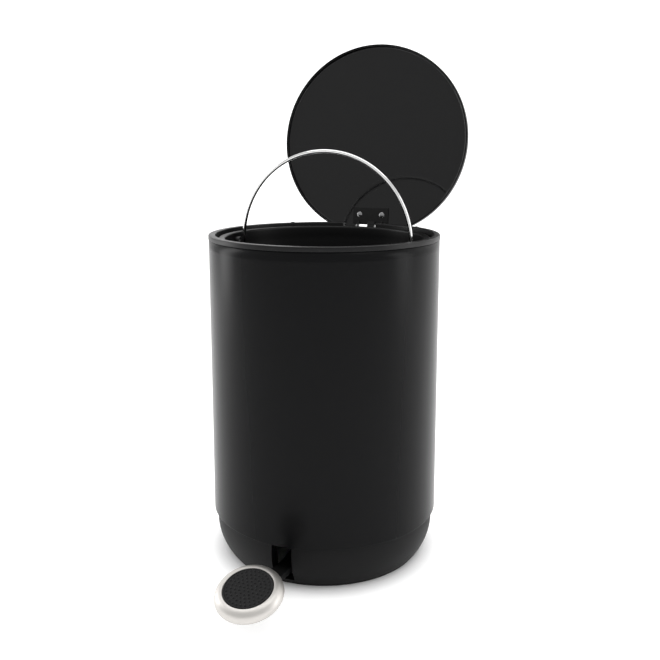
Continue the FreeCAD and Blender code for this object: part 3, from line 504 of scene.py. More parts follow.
def make_dot_rings(material):
    """Dots in rings: one at the centre, then six more in each ring than in the one inside it."""
    tree, given, result = geometry_tree("dot_rings", [
        ("Rings", "Int", 6), ("Pitch", "Float", 0.003), ("Dot radius", "Float", 0.001),
        ("Dot height", "Float", 0.0006)])
    rings = given["Rings"]
    count = dots_within(tree, rings)
    index = node(tree, "GeometryNodeInputIndex").outputs[0]
    root = arithmetic(tree, "SQRT", arithmetic(
        tree, "ADD", 1.0, arithmetic(tree, "MULTIPLY", index, 4.0 / 3.0)))
    raw = arithmetic(tree, "MULTIPLY", arithmetic(tree, "SUBTRACT", root, 1.0), 0.5)
    ring = arithmetic(tree, "CEIL", arithmetic(tree, "SUBTRACT", raw, 1e-4))
    first = dots_within(tree, arithmetic(tree, "SUBTRACT", ring, 1.0))
    along = arithmetic(tree, "SUBTRACT", index, first)
    per_ring = arithmetic(tree, "MAXIMUM", arithmetic(tree, "MULTIPLY", ring, 6.0), 1.0)
    angle = arithmetic(tree, "MULTIPLY", arithmetic(tree, "DIVIDE", along, per_ring), FULL_TURN)
    reach = arithmetic(tree, "MULTIPLY", ring, given["Pitch"])
    place = node(tree, "ShaderNodeCombineXYZ", {
        0: arithmetic(tree, "MULTIPLY", reach, arithmetic(tree, "COSINE", angle)),
        1: arithmetic(tree, "MULTIPLY", reach, arithmetic(tree, "SINE", angle))})
    points = node(tree, "GeometryNodePoints", {"Count": count, "Position": place.outputs[0]})
    ball = node(tree, "GeometryNodeMeshUVSphere", {"Segments": 10, "Rings": 6, "Radius": 1.0})
    size = node(tree, "ShaderNodeCombineXYZ", {
        0: given["Dot radius"], 1: given["Dot radius"], 2: given["Dot height"]})
    put_copies(tree, result, points.outputs[0], ball.outputs[0], material, size.outputs[0])
    return tree


DOT_RINGS = 5
DOT_PITCH = 3.35 * MM
DOT_RADIUS = 0.95 * MM
DOT_HEIGHT = 0.75 * MM
PAD_BORDER = 1.0 * MM
BORDER_HEIGHT = 0.5 * MM
BORDER_ROUND = 0.4 * MM
BORDER_FOOT = 0.3 * MM
PAD_ROUND = 0.2 * MM
PAD_COLUMNS = 96

pad_rubber = black_finish("pad_rubber", (0.007, 0.007, 0.0074), (0.011, 0.011, 0.0115),
                          (0.50, 0.66), 0.0006, 0.00010, 0.2, 0.01)
pad_top = pad_height / 2
pad_face = pad_top - DOT_HEIGHT
disc = lathed(eased([
    (0, -pad_top, 0), (pad_radius, -pad_top), (pad_radius, pad_face + BORDER_HEIGHT, BORDER_ROUND),
    (pad_radius - PAD_BORDER, pad_face + BORDER_HEIGHT, BORDER_FOOT),
    (pad_radius - 1.5 * PAD_BORDER, pad_face, BORDER_FOOT), (0, pad_face, 0)], PAD_ROUND),
    PAD_COLUMNS)
pad = to_piece(disc, "pedal_pad_dotted", pad_rubber)
dots = made_by(make_dot_rings(pad_rubber), "pad_dots", {
    "Rings": DOT_RINGS, "Pitch": DOT_PITCH, "Dot radius": DOT_RADIUS, "Dot height": DOT_HEIGHT})


def joined(piece, extra, move=Matrix.Identity(4)):
    """Add another piece's mesh, moved by a matrix, to a piece, and delete the other."""
    shape = bmesh.new()
    shape.from_mesh(piece.data)
    extra.data.transform(move)
    shape.from_mesh(extra.data)
    shape.to_mesh(piece.data)
    shape.free()
    bpy.data.objects.remove(extra)
    return piece


joined(pad, dots, Matrix.Translation((0, 0, pad_face)))
pad.data.transform(pad_frame)
fitted(pad, "lever", ["pedal_pad"])

# --- Outer shell ----------------------------------------------------------------------------------
# Steel sheet rolled to a tube under a smooth satin black lacquer, with its weld down the back and a
# notch above it for the hinge. It stands on the base and is capped by the rim.

shell_low, shell_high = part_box("outer_shell")
shell_radius = shell_high.x
SHELL_WALL = 0.8 * MM
NOTCH_HALF = 17.0 * MM
NOTCH_DEPTH = 26.0 * MM
WELD_HALF = 0.5 * MM
WELD_DEPTH = 0.12 * MM
SHELL_COLUMNS = 180
HEM_HEIGHT = 0.4 * MM
WALL_ROWS = 12
NOTCH_ROWS = 3
RIM_SLACK = 1e-6


def make_lacquer(name, specular, rough, dusty):
    """Smooth black lacquer on steel: a shallow wave, faint wiping marks and a little dust."""
    made, tree, shader, place = new_material(name)
    wave = node(tree, "ShaderNodeTexNoise", {"Vector": place, "Scale": 60.0, "Detail": 1.0})
    wiped = placed_group(tree, brushing, place, lines=40.0, length=25.0)
    loose = placed_group(tree, dust, place, amount=dusty)
    base = node(tree, "ShaderNodeMix", {
        0: loose["Mask"], 6: blended(tree, wiped["Streak"], (0.0030, 0.0031, 0.0034),
                                     (0.0046, 0.0047, 0.0050)),
        7: (0.10, 0.10, 0.10, 1)}, data_type="RGBA")
    tree.links.new(base.outputs[2], shader["Base Color"])
    tree.links.new(spread(tree, wiped["Streak"], *rough), shader["Roughness"])
    bump = node(tree, "ShaderNodeBump", {
        "Height": wave.outputs[0], "Strength": 0.05, "Distance": 0.0002})
    tree.links.new(bump.outputs[0], shader["Normal"])
    shader["Specular IOR Level"].default_value = specular
    return made


def rolled_tube():
    """The tube's outer skin: a notch at the top of its back and a shallow weld line below it."""
    notch_angle = math.asin(NOTCH_HALF / shell_radius)
    weld_angle = WELD_HALF / shell_radius
    notch_floor = shell_high.z - NOTCH_DEPTH
    back = math.pi / 2
    edges = [-notch_angle, -notch_angle / 2, -weld_angle, 0,
             weld_angle, notch_angle / 2, notch_angle]
    plain = SHELL_COLUMNS
    free = FULL_TURN - 2 * notch_angle
    angles = [back + angle for angle in edges]
    angles += [back + notch_angle + free * step / plain for step in range(1, plain)]
    heights = [shell_low.z, shell_low.z + HEM_HEIGHT]
    heights += [shell_low.z + (notch_floor - shell_low.z) * step / WALL_ROWS
                for step in range(1, WALL_ROWS + 1)]
    heights += [notch_floor + NOTCH_DEPTH * step / NOTCH_ROWS for step in range(1, NOTCH_ROWS + 1)]
    shape = bmesh.new()
    rows = []
    for height in heights:
        row = []
        for angle in angles:
            deep = WELD_DEPTH if abs(angle - back) < weld_angle / 2 else 0.0
            radius = shell_radius - deep
            row.append(shape.verts.new(on_circle(radius, angle, height)))
        rows.append(row)
    for low, high, level in zip(rows, rows[1:], heights[1:]):
        for column in range(len(angles)):
            if column < len(edges) - 1 and level > notch_floor + RIM_SLACK:
                continue
            after = (column + 1) % len(angles)
            shape.faces.new((low[column], low[after], high[after], high[column]))
    loose = [v for v in shape.verts if not v.link_faces]
    bmesh.ops.delete(shape, geom=loose, context="VERTS")
    return shape


shell_lacquer = make_lacquer("shell_lacquer", 0.08, (0.22, 0.28), 0.004)
shell = to_piece(rolled_tube(), "outer_shell_lacquered", shell_lacquer)
wall = shell.modifiers.new("sheet", "SOLIDIFY")
wall.thickness = SHELL_WALL
wall.offset = -1.0
fitted(shell, "bin", ["outer_shell"])

# --- Rim ring -------------------------------------------------------------------------------------
# Black moulded ring that caps the shell, with rounded edges and an inner ledge for the bucket's
# lip. It is open at the back, where the hinge stands.

rim_low, rim_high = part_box("rim_ring")
rim_radius = rim_high.x
RIM_WIDTH = 6.0 * MM
RIM_CAP = 4.0 * MM
RIM_WALL = 1.6 * MM
LEDGE_DROP = 9.0 * MM
LEDGE_WIDTH = 4.8 * MM
PLUG_GAP = 0.2 * MM
RIM_ROUND = 1.1 * MM
SOFT_EDGE = 0.5 * MM
FINE_EDGE = 0.3 * MM
CRISP_EDGE = 0.1 * MM
RIM_COLUMNS = 200


def open_at_back(half):
    """Angles for an open ring whose two ends are cut straight at a distance from the middle."""
    def swing(radius, share):
        cut = math.asin(half / radius)
        return math.pi / 2 + cut + share * (FULL_TURN - 2 * cut)
    return swing


rim_plastic = black_finish("rim_plastic", (0.0030, 0.0030, 0.0032), (0.005, 0.005, 0.0052),
                           (0.34, 0.42), 0.0006, 0.00006, 0.2, 0.008)
plug_radius = shell_radius - SHELL_WALL - PLUG_GAP
inner = rim_radius - RIM_WIDTH
ring = lathed(eased([
    (rim_radius, rim_high.z - RIM_CAP), (rim_radius, rim_high.z, RIM_ROUND),
    (inner, rim_high.z, RIM_ROUND), (inner, rim_high.z - LEDGE_DROP),
    (inner - LEDGE_WIDTH, rim_high.z - LEDGE_DROP, SOFT_EDGE),
    (inner - LEDGE_WIDTH, rim_high.z - LEDGE_DROP - RIM_WALL, SOFT_EDGE),
    (inner + RIM_WALL, rim_high.z - LEDGE_DROP - RIM_WALL, SOFT_EDGE),
    (inner + RIM_WALL, rim_high.z - RIM_WALL),
    (plug_radius - RIM_WALL, rim_high.z - RIM_WALL),
    (plug_radius - RIM_WALL, rim_low.z), (plug_radius, rim_low.z, SOFT_EDGE),
    (plug_radius, rim_high.z - RIM_CAP, CRISP_EDGE)], FINE_EDGE),
    RIM_COLUMNS, closed=False, swing=open_at_back(NOTCH_HALF))
fitted(to_piece(ring, "rim_ring_moulded", rim_plastic, 40.0), "bin", ["rim_ring"])

# --- Rim bumpers ----------------------------------------------------------------------------------
# Two low domed buttons of soft black rubber stuck on the rim, one each side of the hinge, which
# keep the lid from clapping when it comes down.


def make_button_pair(material):
    """Two low domed buttons, mirrored across the middle."""
    tree, given, result = geometry_tree("button_pair", [
        ("Spacing", "Float", 0.1), ("Back", "Float", 0.07), ("Level", "Float", 0.29),
        ("Button radius", "Float", 0.002), ("Button height", "Float", 0.0008)])
    line = node(tree, "GeometryNodeMeshLine", {
        "Count": 2, "Start Location": node(tree, "ShaderNodeCombineXYZ", {
            0: arithmetic(tree, "MULTIPLY", given["Spacing"], -0.5), 1: given["Back"],
            2: given["Level"]}).outputs[0],
        "Offset": node(tree, "ShaderNodeCombineXYZ", {0: given["Spacing"]}).outputs[0]})
    button = node(tree, "GeometryNodeMeshUVSphere", {"Segments": 32, "Rings": 16, "Radius": 1.0})
    size = node(tree, "ShaderNodeCombineXYZ", {
        0: given["Button radius"], 1: given["Button radius"], 2: given["Button height"]})
    put_copies(tree, result, line.outputs[0], button.outputs[0], material, size.outputs[0])
    return tree


bumper_low, bumper_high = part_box("rim_bumpers")
bumper_rubber = black_finish("bumper_rubber", (0.008, 0.008, 0.008), (0.014, 0.014, 0.014),
                             (0.60, 0.75), 0.0006, 0.00008, 0.35, 0.03)
bumper_radius = (bumper_high.y - bumper_low.y) / 2
bumpers = made_by(make_button_pair(bumper_rubber), "rim_bumpers_domed", {
    "Spacing": 2 * (bumper_high.x - bumper_radius), "Back": bumper_low.y + bumper_radius,
    "Level": bumper_low.z, "Button radius": bumper_radius,
    "Button height": bumper_high.z - bumper_low.z})
fitted(bumpers, "bin", ["rim_bumpers"])

# --- Inner bucket ---------------------------------------------------------------------------------
# Tapered lift-out bucket in black satin plastic. Its wide lip turns down and stands on the rim's
# ledge, and a round boss inside each side takes an end of the bail.

bucket_low, bucket_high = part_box("inner_bucket")
bail_low, bail_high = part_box("bail_handle")
BUCKET_WALL = 1.3 * MM
LIP_WIDTH = 4.8 * MM
LIP_HEIGHT = 6.0 * MM
BUCKET_FOOT = 73.0 * MM
EAR_RADIUS = 5.0 * MM
EAR_REACH = 5.4 * MM
EAR_SINK = 0.4 * BUCKET_WALL
EAR_ROUND = 0.7 * MM
BORE_ROUND = 0.4 * MM
EAR_COLUMNS = 48
BAIL_PLAY = 0.05 * MM
bail_wire = (bail_high.y - bail_low.y) / 2
ear_level = bail_low.z + bail_wire
mouth = bucket_high.x - LIP_WIDTH
lip_top = bucket_high.z


def ear_boss(side):
    """A round boss that stands in from the bucket's wall, with the bail's hole in its middle."""
    start = mouth - EAR_SINK
    bore = bail_wire + BAIL_PLAY
    boss = lathed(eased([
        (EAR_RADIUS, 0, 0), (EAR_RADIUS, EAR_REACH, EAR_ROUND),
        (bore, EAR_REACH, BORE_ROUND), (bore, 0, 0)], FINE_EDGE), EAR_COLUMNS)
    turn = Matrix.Rotation(-side * math.pi / 2, 4, "Y")
    bmesh.ops.transform(boss, verts=boss.verts,
                        matrix=Matrix.Translation((side * start, 0, ear_level)) @ turn)
    return to_piece(boss, "ear", bucket_plastic)


bucket_plastic = black_finish("bucket_plastic", (0.0006, 0.0006, 0.0007), (0.0012, 0.0012, 0.0013),
                              (0.34, 0.44), 0.0009, 0.00006, 0.2, 0.004)
foot_level = bucket_low.z
FOOT_DISH = 0.8 * MM
FOOT_RIM = 9.0 * MM
SHOULDER_DROP = 5.0 * MM
BEAD_ROUND = 1.0 * MM
WALL_ROUND = 3.0 * MM
FOOT_ROUND = 2.0 * MM
LIP_ROUND = 2.2 * MM
LIP_INNER_ROUND = 0.8 * MM
BUCKET_EDGE = 0.4 * MM
BUCKET_EASE = 6
BUCKET_COLUMNS = 180
shoulder = lip_top - LIP_HEIGHT - SHOULDER_DROP
bucket = to_piece(lathed(eased([
    (0, foot_level + FOOT_DISH, 0), (BUCKET_FOOT - FOOT_RIM, foot_level + FOOT_DISH, BEAD_ROUND),
    (BUCKET_FOOT - FOOT_RIM + MM, foot_level, LIP_INNER_ROUND),
    (BUCKET_FOOT, foot_level, FOOT_ROUND),
    (mouth, shoulder, WALL_ROUND), (mouth, lip_top - BUCKET_WALL, SOFT_EDGE),
    (bucket_high.x - BUCKET_WALL, lip_top - BUCKET_WALL, LIP_INNER_ROUND),
    (bucket_high.x - BUCKET_WALL, lip_top - LIP_HEIGHT, FINE_EDGE),
    (bucket_high.x, lip_top - LIP_HEIGHT, FINE_EDGE), (bucket_high.x, lip_top, LIP_ROUND),
    (mouth - BUCKET_WALL, lip_top, FOOT_ROUND),
    (mouth - BUCKET_WALL, shoulder, WALL_ROUND),
    (BUCKET_FOOT - BUCKET_WALL, foot_level + BUCKET_WALL, WALL_ROUND),
    (BUCKET_FOOT - FOOT_RIM, foot_level + BUCKET_WALL, BEAD_ROUND),
    (BUCKET_FOOT - FOOT_RIM - MM, foot_level + FOOT_DISH + BUCKET_WALL, BEAD_ROUND),
    (0, foot_level + FOOT_DISH + BUCKET_WALL, 0)], BUCKET_EDGE, BUCKET_EASE), BUCKET_COLUMNS),
    "inner_bucket_moulded", bucket_plastic, 40.0)
for side in (-1, 1):
    joined(bucket, ear_boss(side))
fitted(bucket, "bin", ["inner_bucket"])

# --- Bail -----------------------------------------------------------------------------------------
# Carrying handle of polished steel wire, bent to a half circle. Each end turns outwards into a boss
# of the bucket.

BAIL_BEND = 4.0 * MM
BAIL_SIDES = 28
BAIL_TIP = 1.5 * MM
BEND_STEPS = 10
ARCH_STEPS = 120


def bail_path():
    """Centreline of the bail from one tip to the other."""
    tip = bail_high.x
    arch = bail_high.z - bail_wire - ear_level - BAIL_BEND
    points = [Vector((tip, 0, ear_level)), Vector((tip - BAIL_TIP, 0, ear_level))]
    for step in range(BEND_STEPS + 1):
        angle = math.radians(90 * step / BEND_STEPS)
        points.append(Vector((arch + BAIL_BEND - BAIL_BEND * math.sin(angle), 0,
                              ear_level + BAIL_BEND - BAIL_BEND * math.cos(angle))))
    for step in range(1, ARCH_STEPS):
        angle = math.pi * step / ARCH_STEPS
        points.append(Vector((arch * math.cos(angle), 0,
                              ear_level + BAIL_BEND + arch * math.sin(angle))))
    mirrored = [Vector((-point.x, 0, point.z)) for point in reversed(points[:BEND_STEPS + 3])]
    return points + mirrored


def swept(path, radius, sides):
    """A round bar along a flat path in the XZ plane, closed at both ends."""
    shape = bmesh.new()
    rings = []
    for index, point in enumerate(path):
        ahead = path[min(index + 1, len(path) - 1)] - path[max(index - 1, 0)]
        out = Vector((ahead.z, 0, -ahead.x)).normalized()
        rings.append([shape.verts.new(point + out * radius * math.cos(FULL_TURN * k / sides)
                                      + Vector((0, radius * math.sin(FULL_TURN * k / sides), 0)))
                      for k in range(sides)])
    for before, ring in zip(rings, rings[1:]):
        for k in range(sides):
            after = (k + 1) % sides
            shape.faces.new((before[k], before[after], ring[after], ring[k]))
    shape.faces.new(rings[0])
    shape.faces.new(list(reversed(rings[-1])))
    bmesh.ops.recalc_face_normals(shape, faces=shape.faces)
    return shape


polished_wire = bare_metal("polished_wire", (0.70, 0.70, 0.70), (0.80, 0.80, 0.79), (0.10, 0.17),
                           1500.0, 90.0, 0.000008)
bail = to_piece(swept(bail_path(), bail_wire, BAIL_SIDES), "bail_handle_polished", polished_wire)
fitted(bail, "bail", ["bail_handle"])

# --- Hinge brackets -------------------------------------------------------------------------------
# Two black coated steel brackets: one riveted to the back of the shell, the other to the lid's
# inner face. Their edges show the coat's slight roughness.

bracket_coat = black_finish("bracket_coat", (0.003, 0.003, 0.003), (0.005, 0.005, 0.005),
                            (0.30, 0.42), 0.0018, 0.00008, 0.2, 0.01, COAT_STRENGTH, COAT_DUST)
dress("body_hinge_bracket", bracket_coat)
dress("lid_hinge_bracket", bracket_coat)

# --- Rivets ---------------------------------------------------------------------------------------
# Bright domed rivets: two through the shell and its bracket, and two through the lid's bracket into
# its liner. Their heads are peened round.


def make_rivet_pair(material):
    """Two domed rivets: a shank and a flattened dome, mirrored across the middle."""
    tree, given, result = geometry_tree("rivet_pair", [
        ("Spacing", "Float", 0.012), ("Head radius", "Float", 0.0028),
        ("Head height", "Float", 0.001), ("Shank radius", "Float", 0.0015),
        ("Shank length", "Float", 0.003)])
    line = node(tree, "GeometryNodeMeshLine", {
        "Count": 2, "Start Location": node(tree, "ShaderNodeCombineXYZ", {
            0: arithmetic(tree, "MULTIPLY", given["Spacing"], -1.0)}).outputs[0],
        "Offset": node(tree, "ShaderNodeCombineXYZ", {
            0: arithmetic(tree, "MULTIPLY", given["Spacing"], 2.0)}).outputs[0]})
    dome = node(tree, "GeometryNodeMeshUVSphere", {"Segments": 40, "Rings": 24, "Radius": 1.0})
    flat = node(tree, "GeometryNodeTransform", {
        0: dome.outputs[0], "Scale": node(tree, "ShaderNodeCombineXYZ", {
            0: given["Head radius"], 1: given["Head radius"], 2: given["Head height"]}).outputs[0]})
    shank = node(tree, "GeometryNodeMeshCylinder", {
        "Vertices": 32, "Radius": given["Shank radius"], "Depth": given["Shank length"]})
    sunk = node(tree, "GeometryNodeTransform", {
        0: shank.outputs["Mesh"], "Translation": node(tree, "ShaderNodeCombineXYZ", {
            2: arithmetic(tree, "MULTIPLY", given["Shank length"], -0.5)}).outputs[0]})
    both = node(tree, "GeometryNodeJoinGeometry")
    tree.links.new(flat.outputs[0], both.inputs[0])
    tree.links.new(sunk.outputs[0], both.inputs[0])
    put_copies(tree, result, line.outputs[0], both.outputs[0], material)
    return tree


hinge = next(joint for joint in frame["joints"] if joint["name"] == "lid_hinge")
hinge_place = Vector(hinge["pos_m"])
lid_open = (Matrix.Translation(hinge_place)
            @ Matrix.Rotation(-math.radians(hinge["range_deg"][1]), 4, Vector(hinge["axis"]))
            @ Matrix.Translation(-hinge_place))


def closed_box(name):
    """Lowest and highest corner of a lid node with the lid shut."""
    shut = lid_open.inverted()
    points = numpy.array([tuple(shut @ Vector(point)) for point in node_points(name)])
    return Vector(points.min(0)), Vector(points.max(0))


RIVET_HEAD = 2.8 * MM
RIVET_RISE = 1.0 * MM
RIVET_SHANK = 1.5 * MM
rivet_zinc = bare_metal("rivet_zinc", (0.22, 0.22, 0.225), (0.32, 0.32, 0.32), (0.16, 0.26),
                        900.0, 500.0, 0.00002)
rivet_pair = make_rivet_pair(rivet_zinc)
lid_rivet_low, lid_rivet_high = closed_box("lid_hinge_rivets")
lid_rivets = made_by(rivet_pair, "lid_rivets_domed", {
    "Spacing": lid_rivet_high.x - RIVET_HEAD, "Head radius": RIVET_HEAD, "Head height": RIVET_RISE,
    "Shank radius": RIVET_SHANK, "Shank length": lid_rivet_high.z - lid_rivet_low.z - RIVET_RISE})
lid_rivets.data.transform(lid_open @ Matrix.Translation((
    0, (lid_rivet_low.y + lid_rivet_high.y) / 2, lid_rivet_low.z + RIVET_RISE))
    @ Matrix.Rotation(math.pi, 4, "X"))
fitted(lid_rivets, "lid", ["lid_hinge_rivets"])

back_rivet_low, back_rivet_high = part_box("body_hinge_rivets")
back_rivets = made_by(rivet_pair, "body_rivets_domed", {
    "Spacing": back_rivet_high.x - RIVET_HEAD, "Head radius": RIVET_HEAD, "Head height": RIVET_RISE,
    "Shank radius": RIVET_SHANK, "Shank length": back_rivet_high.y - back_rivet_low.y - RIVET_RISE})
back_rivets.data.transform(Matrix.Translation((
    0, back_rivet_high.y - RIVET_RISE, (back_rivet_low.z + back_rivet_high.z) / 2))
    @ Matrix.Rotation(-math.pi / 2, 4, "X"))
fitted(back_rivets, "bin", ["body_hinge_rivets"])

# --- Lid cover ------------------------------------------------------------------------------------
# Pressed steel lid with a low crown and a rounded edge turned down, in the shell's black lacquer. A
# shallow recess in its back edge clears the hinge.

cover_low, cover_high = closed_box("lid_cover")
lid_radius = cover_high.x
LID_WALL = 0.8 * MM
LID_EDGE = 3.0 * MM
LID_CROWN = 1.0 * MM
RECESS_HALF = 16.0 * MM
RECESS_DEPTH = 10.5 * MM
HEM_ROUND = 0.15 * MM
RECESS_EASE = 2.0 * MM
RECESS_FADE = 6
LID_COLUMNS = 240
RECESS_COLUMNS = 60


def lid_reach(angle):
    """Distance of the lid's edge from its centre: round, but straight across the recess."""
    across, along = lid_radius * math.cos(angle), lid_radius * math.sin(angle)
    outside = RECESS_HALF + RECESS_EASE - abs(across)
    if along < 0 or outside < 0:
        return lid_radius
    share = min(1.0, outside / RECESS_EASE)
    ease = share * share * (3 - 2 * share)
    chord = (lid_radius - RECESS_DEPTH) / math.sin(angle)
    return lid_radius + (min(chord, lid_radius) - lid_radius) * ease


def lid_angles():
    """Column angles: close together across the recess, even elsewhere."""
    half = math.asin((RECESS_HALF + 1.5 * RECESS_EASE) / lid_radius)
    near = [math.pi / 2 - half + 2 * half * step / RECESS_COLUMNS
            for step in range(RECESS_COLUMNS)]
    plain = LID_COLUMNS - RECESS_COLUMNS
    far = [math.pi / 2 + half + (FULL_TURN - 2 * half) * step / plain
           for step in range(plain)]
    return near + far


def lid_turned(outline):
    """An outline turned about the lid's axis, its edge following the lid's own shape."""
    shape = bmesh.new()
    angles = lid_angles()
    rings = []
    for point in outline:
        ring = []
        for angle in angles:
            inset = lid_radius - lid_reach(angle)
            blend = min(1.0, point.x / lid_radius) ** RECESS_FADE
            ring.append(shape.verts.new(on_circle(point.x - inset * blend, angle, point.y)))
        rings.append(ring)
    return skinned(shape, rings, outline)


def crowned(low, high, edge_level, top_level):
    """Points of a low crown, from the axis out to an edge radius."""
    return [Vector((low + (high - low) * step / 10,
                    top_level - (top_level - edge_level) * (step / 10) ** 2)) for step in range(11)]


lid_lacquer = make_lacquer("lid_lacquer", 0.12, (0.16, 0.22), 0.006)
edge_top = cover_high.z - LID_CROWN
cover_outline = crowned(0, lid_radius - LID_EDGE, edge_top, cover_high.z)
for step in range(1, 11):
    angle = math.radians(90 - 9 * step)
    cover_outline.append(Vector((lid_radius - LID_EDGE + LID_EDGE * math.cos(angle),
                                 edge_top - LID_EDGE + LID_EDGE * math.sin(angle))))
cover_outline += [Vector((lid_radius, cover_low.z + 2 * HEM_ROUND)),
                  Vector((lid_radius - HEM_ROUND, cover_low.z)),
                  Vector((lid_radius - LID_WALL + HEM_ROUND, cover_low.z)),
                  Vector((lid_radius - LID_WALL, cover_low.z + 2 * HEM_ROUND))]
for step in range(0, 11):
    angle = math.radians(9 * step)
    reach = LID_EDGE - LID_WALL
    cover_outline.append(Vector((lid_radius - LID_EDGE + reach * math.cos(angle),
                                 edge_top - LID_EDGE + reach * math.sin(angle))))
cover_outline += list(reversed(crowned(0, lid_radius - LID_EDGE, edge_top - LID_WALL,
                                       cover_high.z - LID_WALL)))[1:]
cover = lid_turned(cover_outline)
bmesh.ops.transform(cover, matrix=lid_open, verts=cover.verts)
fitted(to_piece(cover, "lid_cover_lacquered", lid_lacquer), "lid", ["lid_cover"])

# --- Lid liner ------------------------------------------------------------------------------------
# Inner skin of the lid: a black disc moulded to a mirror gloss, with a low sloping rim inside the
# cover's edge. It shows faint swirls from wiping.

liner_low, liner_high = closed_box("lid_liner")
LINER_WALL = 1.5 * MM
LINER_GAP = 0.2 * MM
LINER_ROUND = 1.0 * MM
FACE_SHARE = 0.985


def make_mirror_gloss():
    """Glossy black plastic: a very slow wave in the sheet, faint smears and a little dust."""
    made, tree, shader, place = new_material("mirror_gloss")
    wave = node(tree, "ShaderNodeTexNoise", {"Vector": place, "Scale": 16.0, "Detail": 1.0})
    smear = node(tree, "ShaderNodeTexNoise", {
        "Vector": place, "Scale": 30.0, "Detail": 5.0, "Distortion": 1.2})
    loose = placed_group(tree, dust, place, amount=0.006)
    base = node(tree, "ShaderNodeMix", {
        0: loose["Mask"], 6: blended(tree, smear.outputs[0], (0.0020, 0.0020, 0.0022),
                                     (0.0032, 0.0032, 0.0034)),
        7: (0.2, 0.2, 0.2, 1)}, data_type="RGBA")
    tree.links.new(base.outputs[2], shader["Base Color"])
    tree.links.new(spread(tree, smear.outputs[0], 0.03, 0.09), shader["Roughness"])
    bump = node(tree, "ShaderNodeBump", {
        "Height": wave.outputs[0], "Strength": 0.06, "Distance": 0.0008})
    tree.links.new(bump.outputs[0], shader["Normal"])
    shader["Specular IOR Level"].default_value = 0.3
    return made


mirror_gloss = make_mirror_gloss()
liner_radius = lid_radius - LID_WALL - LINER_GAP
liner_face = liner_high.z - LINER_WALL
face_points = [Vector((liner_radius * FACE_SHARE * step / 10, liner_face)) for step in range(11)]
liner_outline = face_points[:-1] + eased([
    (liner_radius - LINER_WALL, liner_face, LINER_ROUND),
    (liner_radius - LINER_WALL / 2, liner_low.z), (liner_radius, liner_low.z),
    (liner_radius, liner_high.z), (0, liner_high.z, 0),
    (0, liner_face, 0)], FINE_EDGE)[:-1]
liner = lid_turned(liner_outline)
bmesh.ops.transform(liner, matrix=lid_open, verts=liner.verts)
fitted(to_piece(liner, "lid_liner_gloss", mirror_gloss), "lid", ["lid_liner"])

# --- Floor, light and camera ----------------------------------------------------------------------
# A pale matt sweep with a painted glow that washes out the bin's shadow on it, a broad light above
# and behind the bin, and tall soft lights at its sides.


PAPER_GLOW = 0.45
UNLIT_RADIUS = 0.86 * shell_radius
LIT_RADIUS = 1.1 * shell_radius
SWEEP_HALF = 5.0
SWEEP_BEND = 0.9
BEND_START = 1.6
SWEEP_TOP = 4.0


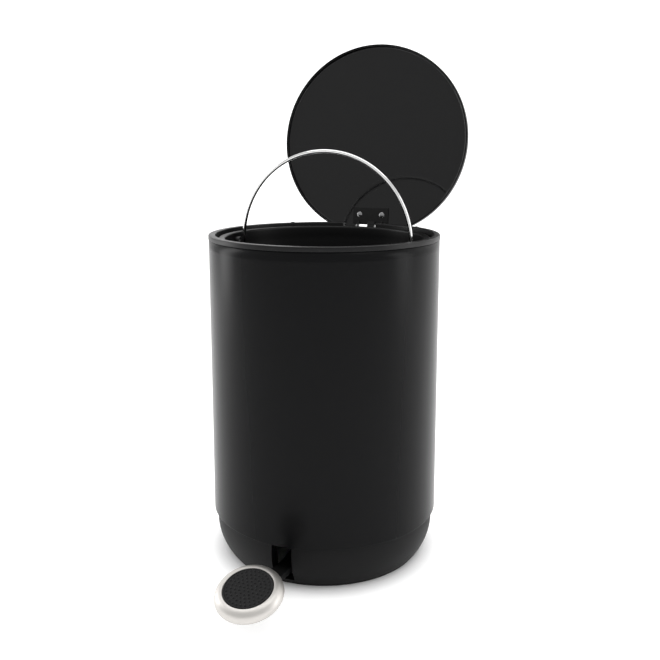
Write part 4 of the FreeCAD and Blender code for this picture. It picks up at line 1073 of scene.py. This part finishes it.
def make_sweep():
    """Floor that curves up into a back wall, with a painted glow everywhere but the spot under the
    bin, which washes out the bin's shadow on it.
    """
    made, tree, shader, place = new_material("pale_paper")
    tooth = node(tree, "ShaderNodeTexNoise", {"Vector": place, "Scale": 90.0, "Detail": 4.0})
    tree.links.new(blended(tree, tooth.outputs[0], (0.86, 0.86, 0.86), (0.90, 0.90, 0.90)),
                   shader["Base Color"])
    shader["Roughness"].default_value = 0.9
    shader["Specular IOR Level"].default_value = 0.1
    # Painted glow: the paper emits light, dark only under the bin's foot, so no shadow shows round
    # the bin.
    parts = node(tree, "ShaderNodeSeparateXYZ", {0: place})
    clear = node(tree, "ShaderNodeMapRange", {
        0: axis_distance(tree, parts), 1: UNLIT_RADIUS, 2: LIT_RADIUS})
    tree.links.new(blended(tree, clear.outputs[0], (0, 0, 0), (1, 1, 1)), shader["Emission Color"])
    shader["Emission Strength"].default_value = PAPER_GLOW
    shape = bmesh.new()
    line = [(-SWEEP_HALF, 0.0), (BEND_START, 0.0)]
    for step in range(1, 16):
        angle = math.radians(6 * step)
        line.append((BEND_START + SWEEP_BEND * math.sin(angle), SWEEP_BEND * (1 - math.cos(angle))))
    line.append((BEND_START + SWEEP_BEND, SWEEP_TOP))
    left = [shape.verts.new((-SWEEP_HALF, y, z)) for y, z in line]
    right = [shape.verts.new((SWEEP_HALF, y, z)) for y, z in line]
    for index in range(len(line) - 1):
        shape.faces.new((left[index], right[index], right[index + 1], left[index + 1]))
    return to_piece(shape, "pale_sweep", made, 60.0)


make_sweep()


def soft_light(name, place, target, width, height, power):
    """A rectangular soft light aimed at a point."""
    lamp = bpy.data.lights.new(name, "AREA")
    lamp.shape = "RECTANGLE"
    lamp.size, lamp.size_y = width, height
    lamp.energy = power
    made = bpy.data.objects.new(name, lamp)
    bpy.context.scene.collection.objects.link(made)
    made.location = place
    made.rotation_euler = (Vector(target) - Vector(place)).to_track_quat("-Z", "Y").to_euler()
    return made


soft_light("top_softbox", place=(0.0, 0.5, 1.9), target=(0.0, 0.2, 0.0),
           width=2.2, height=1.8, power=22.0)
soft_light("left_softbox", place=(-1.5, -0.1, 0.55), target=(0.0, 0.0, 0.3),
           width=0.5, height=1.5, power=9.0)
soft_light("right_softbox", place=(1.5, 0.3, 0.55), target=(0.0, 0.0, 0.3),
           width=0.5, height=1.5, power=7.0)

world = bpy.data.worlds.new("studio")
bpy.context.scene.world = world
world.use_nodes = True
surround = world.node_tree.nodes["Background"].inputs
surround["Color"].default_value = (1, 1, 1, 1)
surround["Strength"].default_value = 0.8

CAMERA_AWAY = 0.7200
CAMERA_HEIGHT = 0.3690
CAMERA_ROUND = 21.4
CAMERA_PITCH = 9.4
CAMERA_YAW = -0.4
CAMERA_LENS = 44.127
CAMERA_SENSOR = 36.0
CAMERA_SHIFT = -0.0803

camera = bpy.data.cameras.new("camera")
camera.sensor_width = CAMERA_SENSOR
camera.lens = CAMERA_LENS
camera.shift_y = CAMERA_SHIFT
round_angle = math.radians(CAMERA_ROUND)
eye = bpy.data.objects.new("camera", camera)
bpy.context.scene.collection.objects.link(eye)
eye.location = (CAMERA_AWAY * math.sin(round_angle), -CAMERA_AWAY * math.cos(round_angle),
                CAMERA_HEIGHT)
eye.rotation_euler = (math.radians(90 - CAMERA_PITCH), 0,
                      math.radians(CAMERA_ROUND + CAMERA_YAW))
bpy.context.scene.camera = eye
bpy.context.scene.view_settings.view_transform = "Standard"
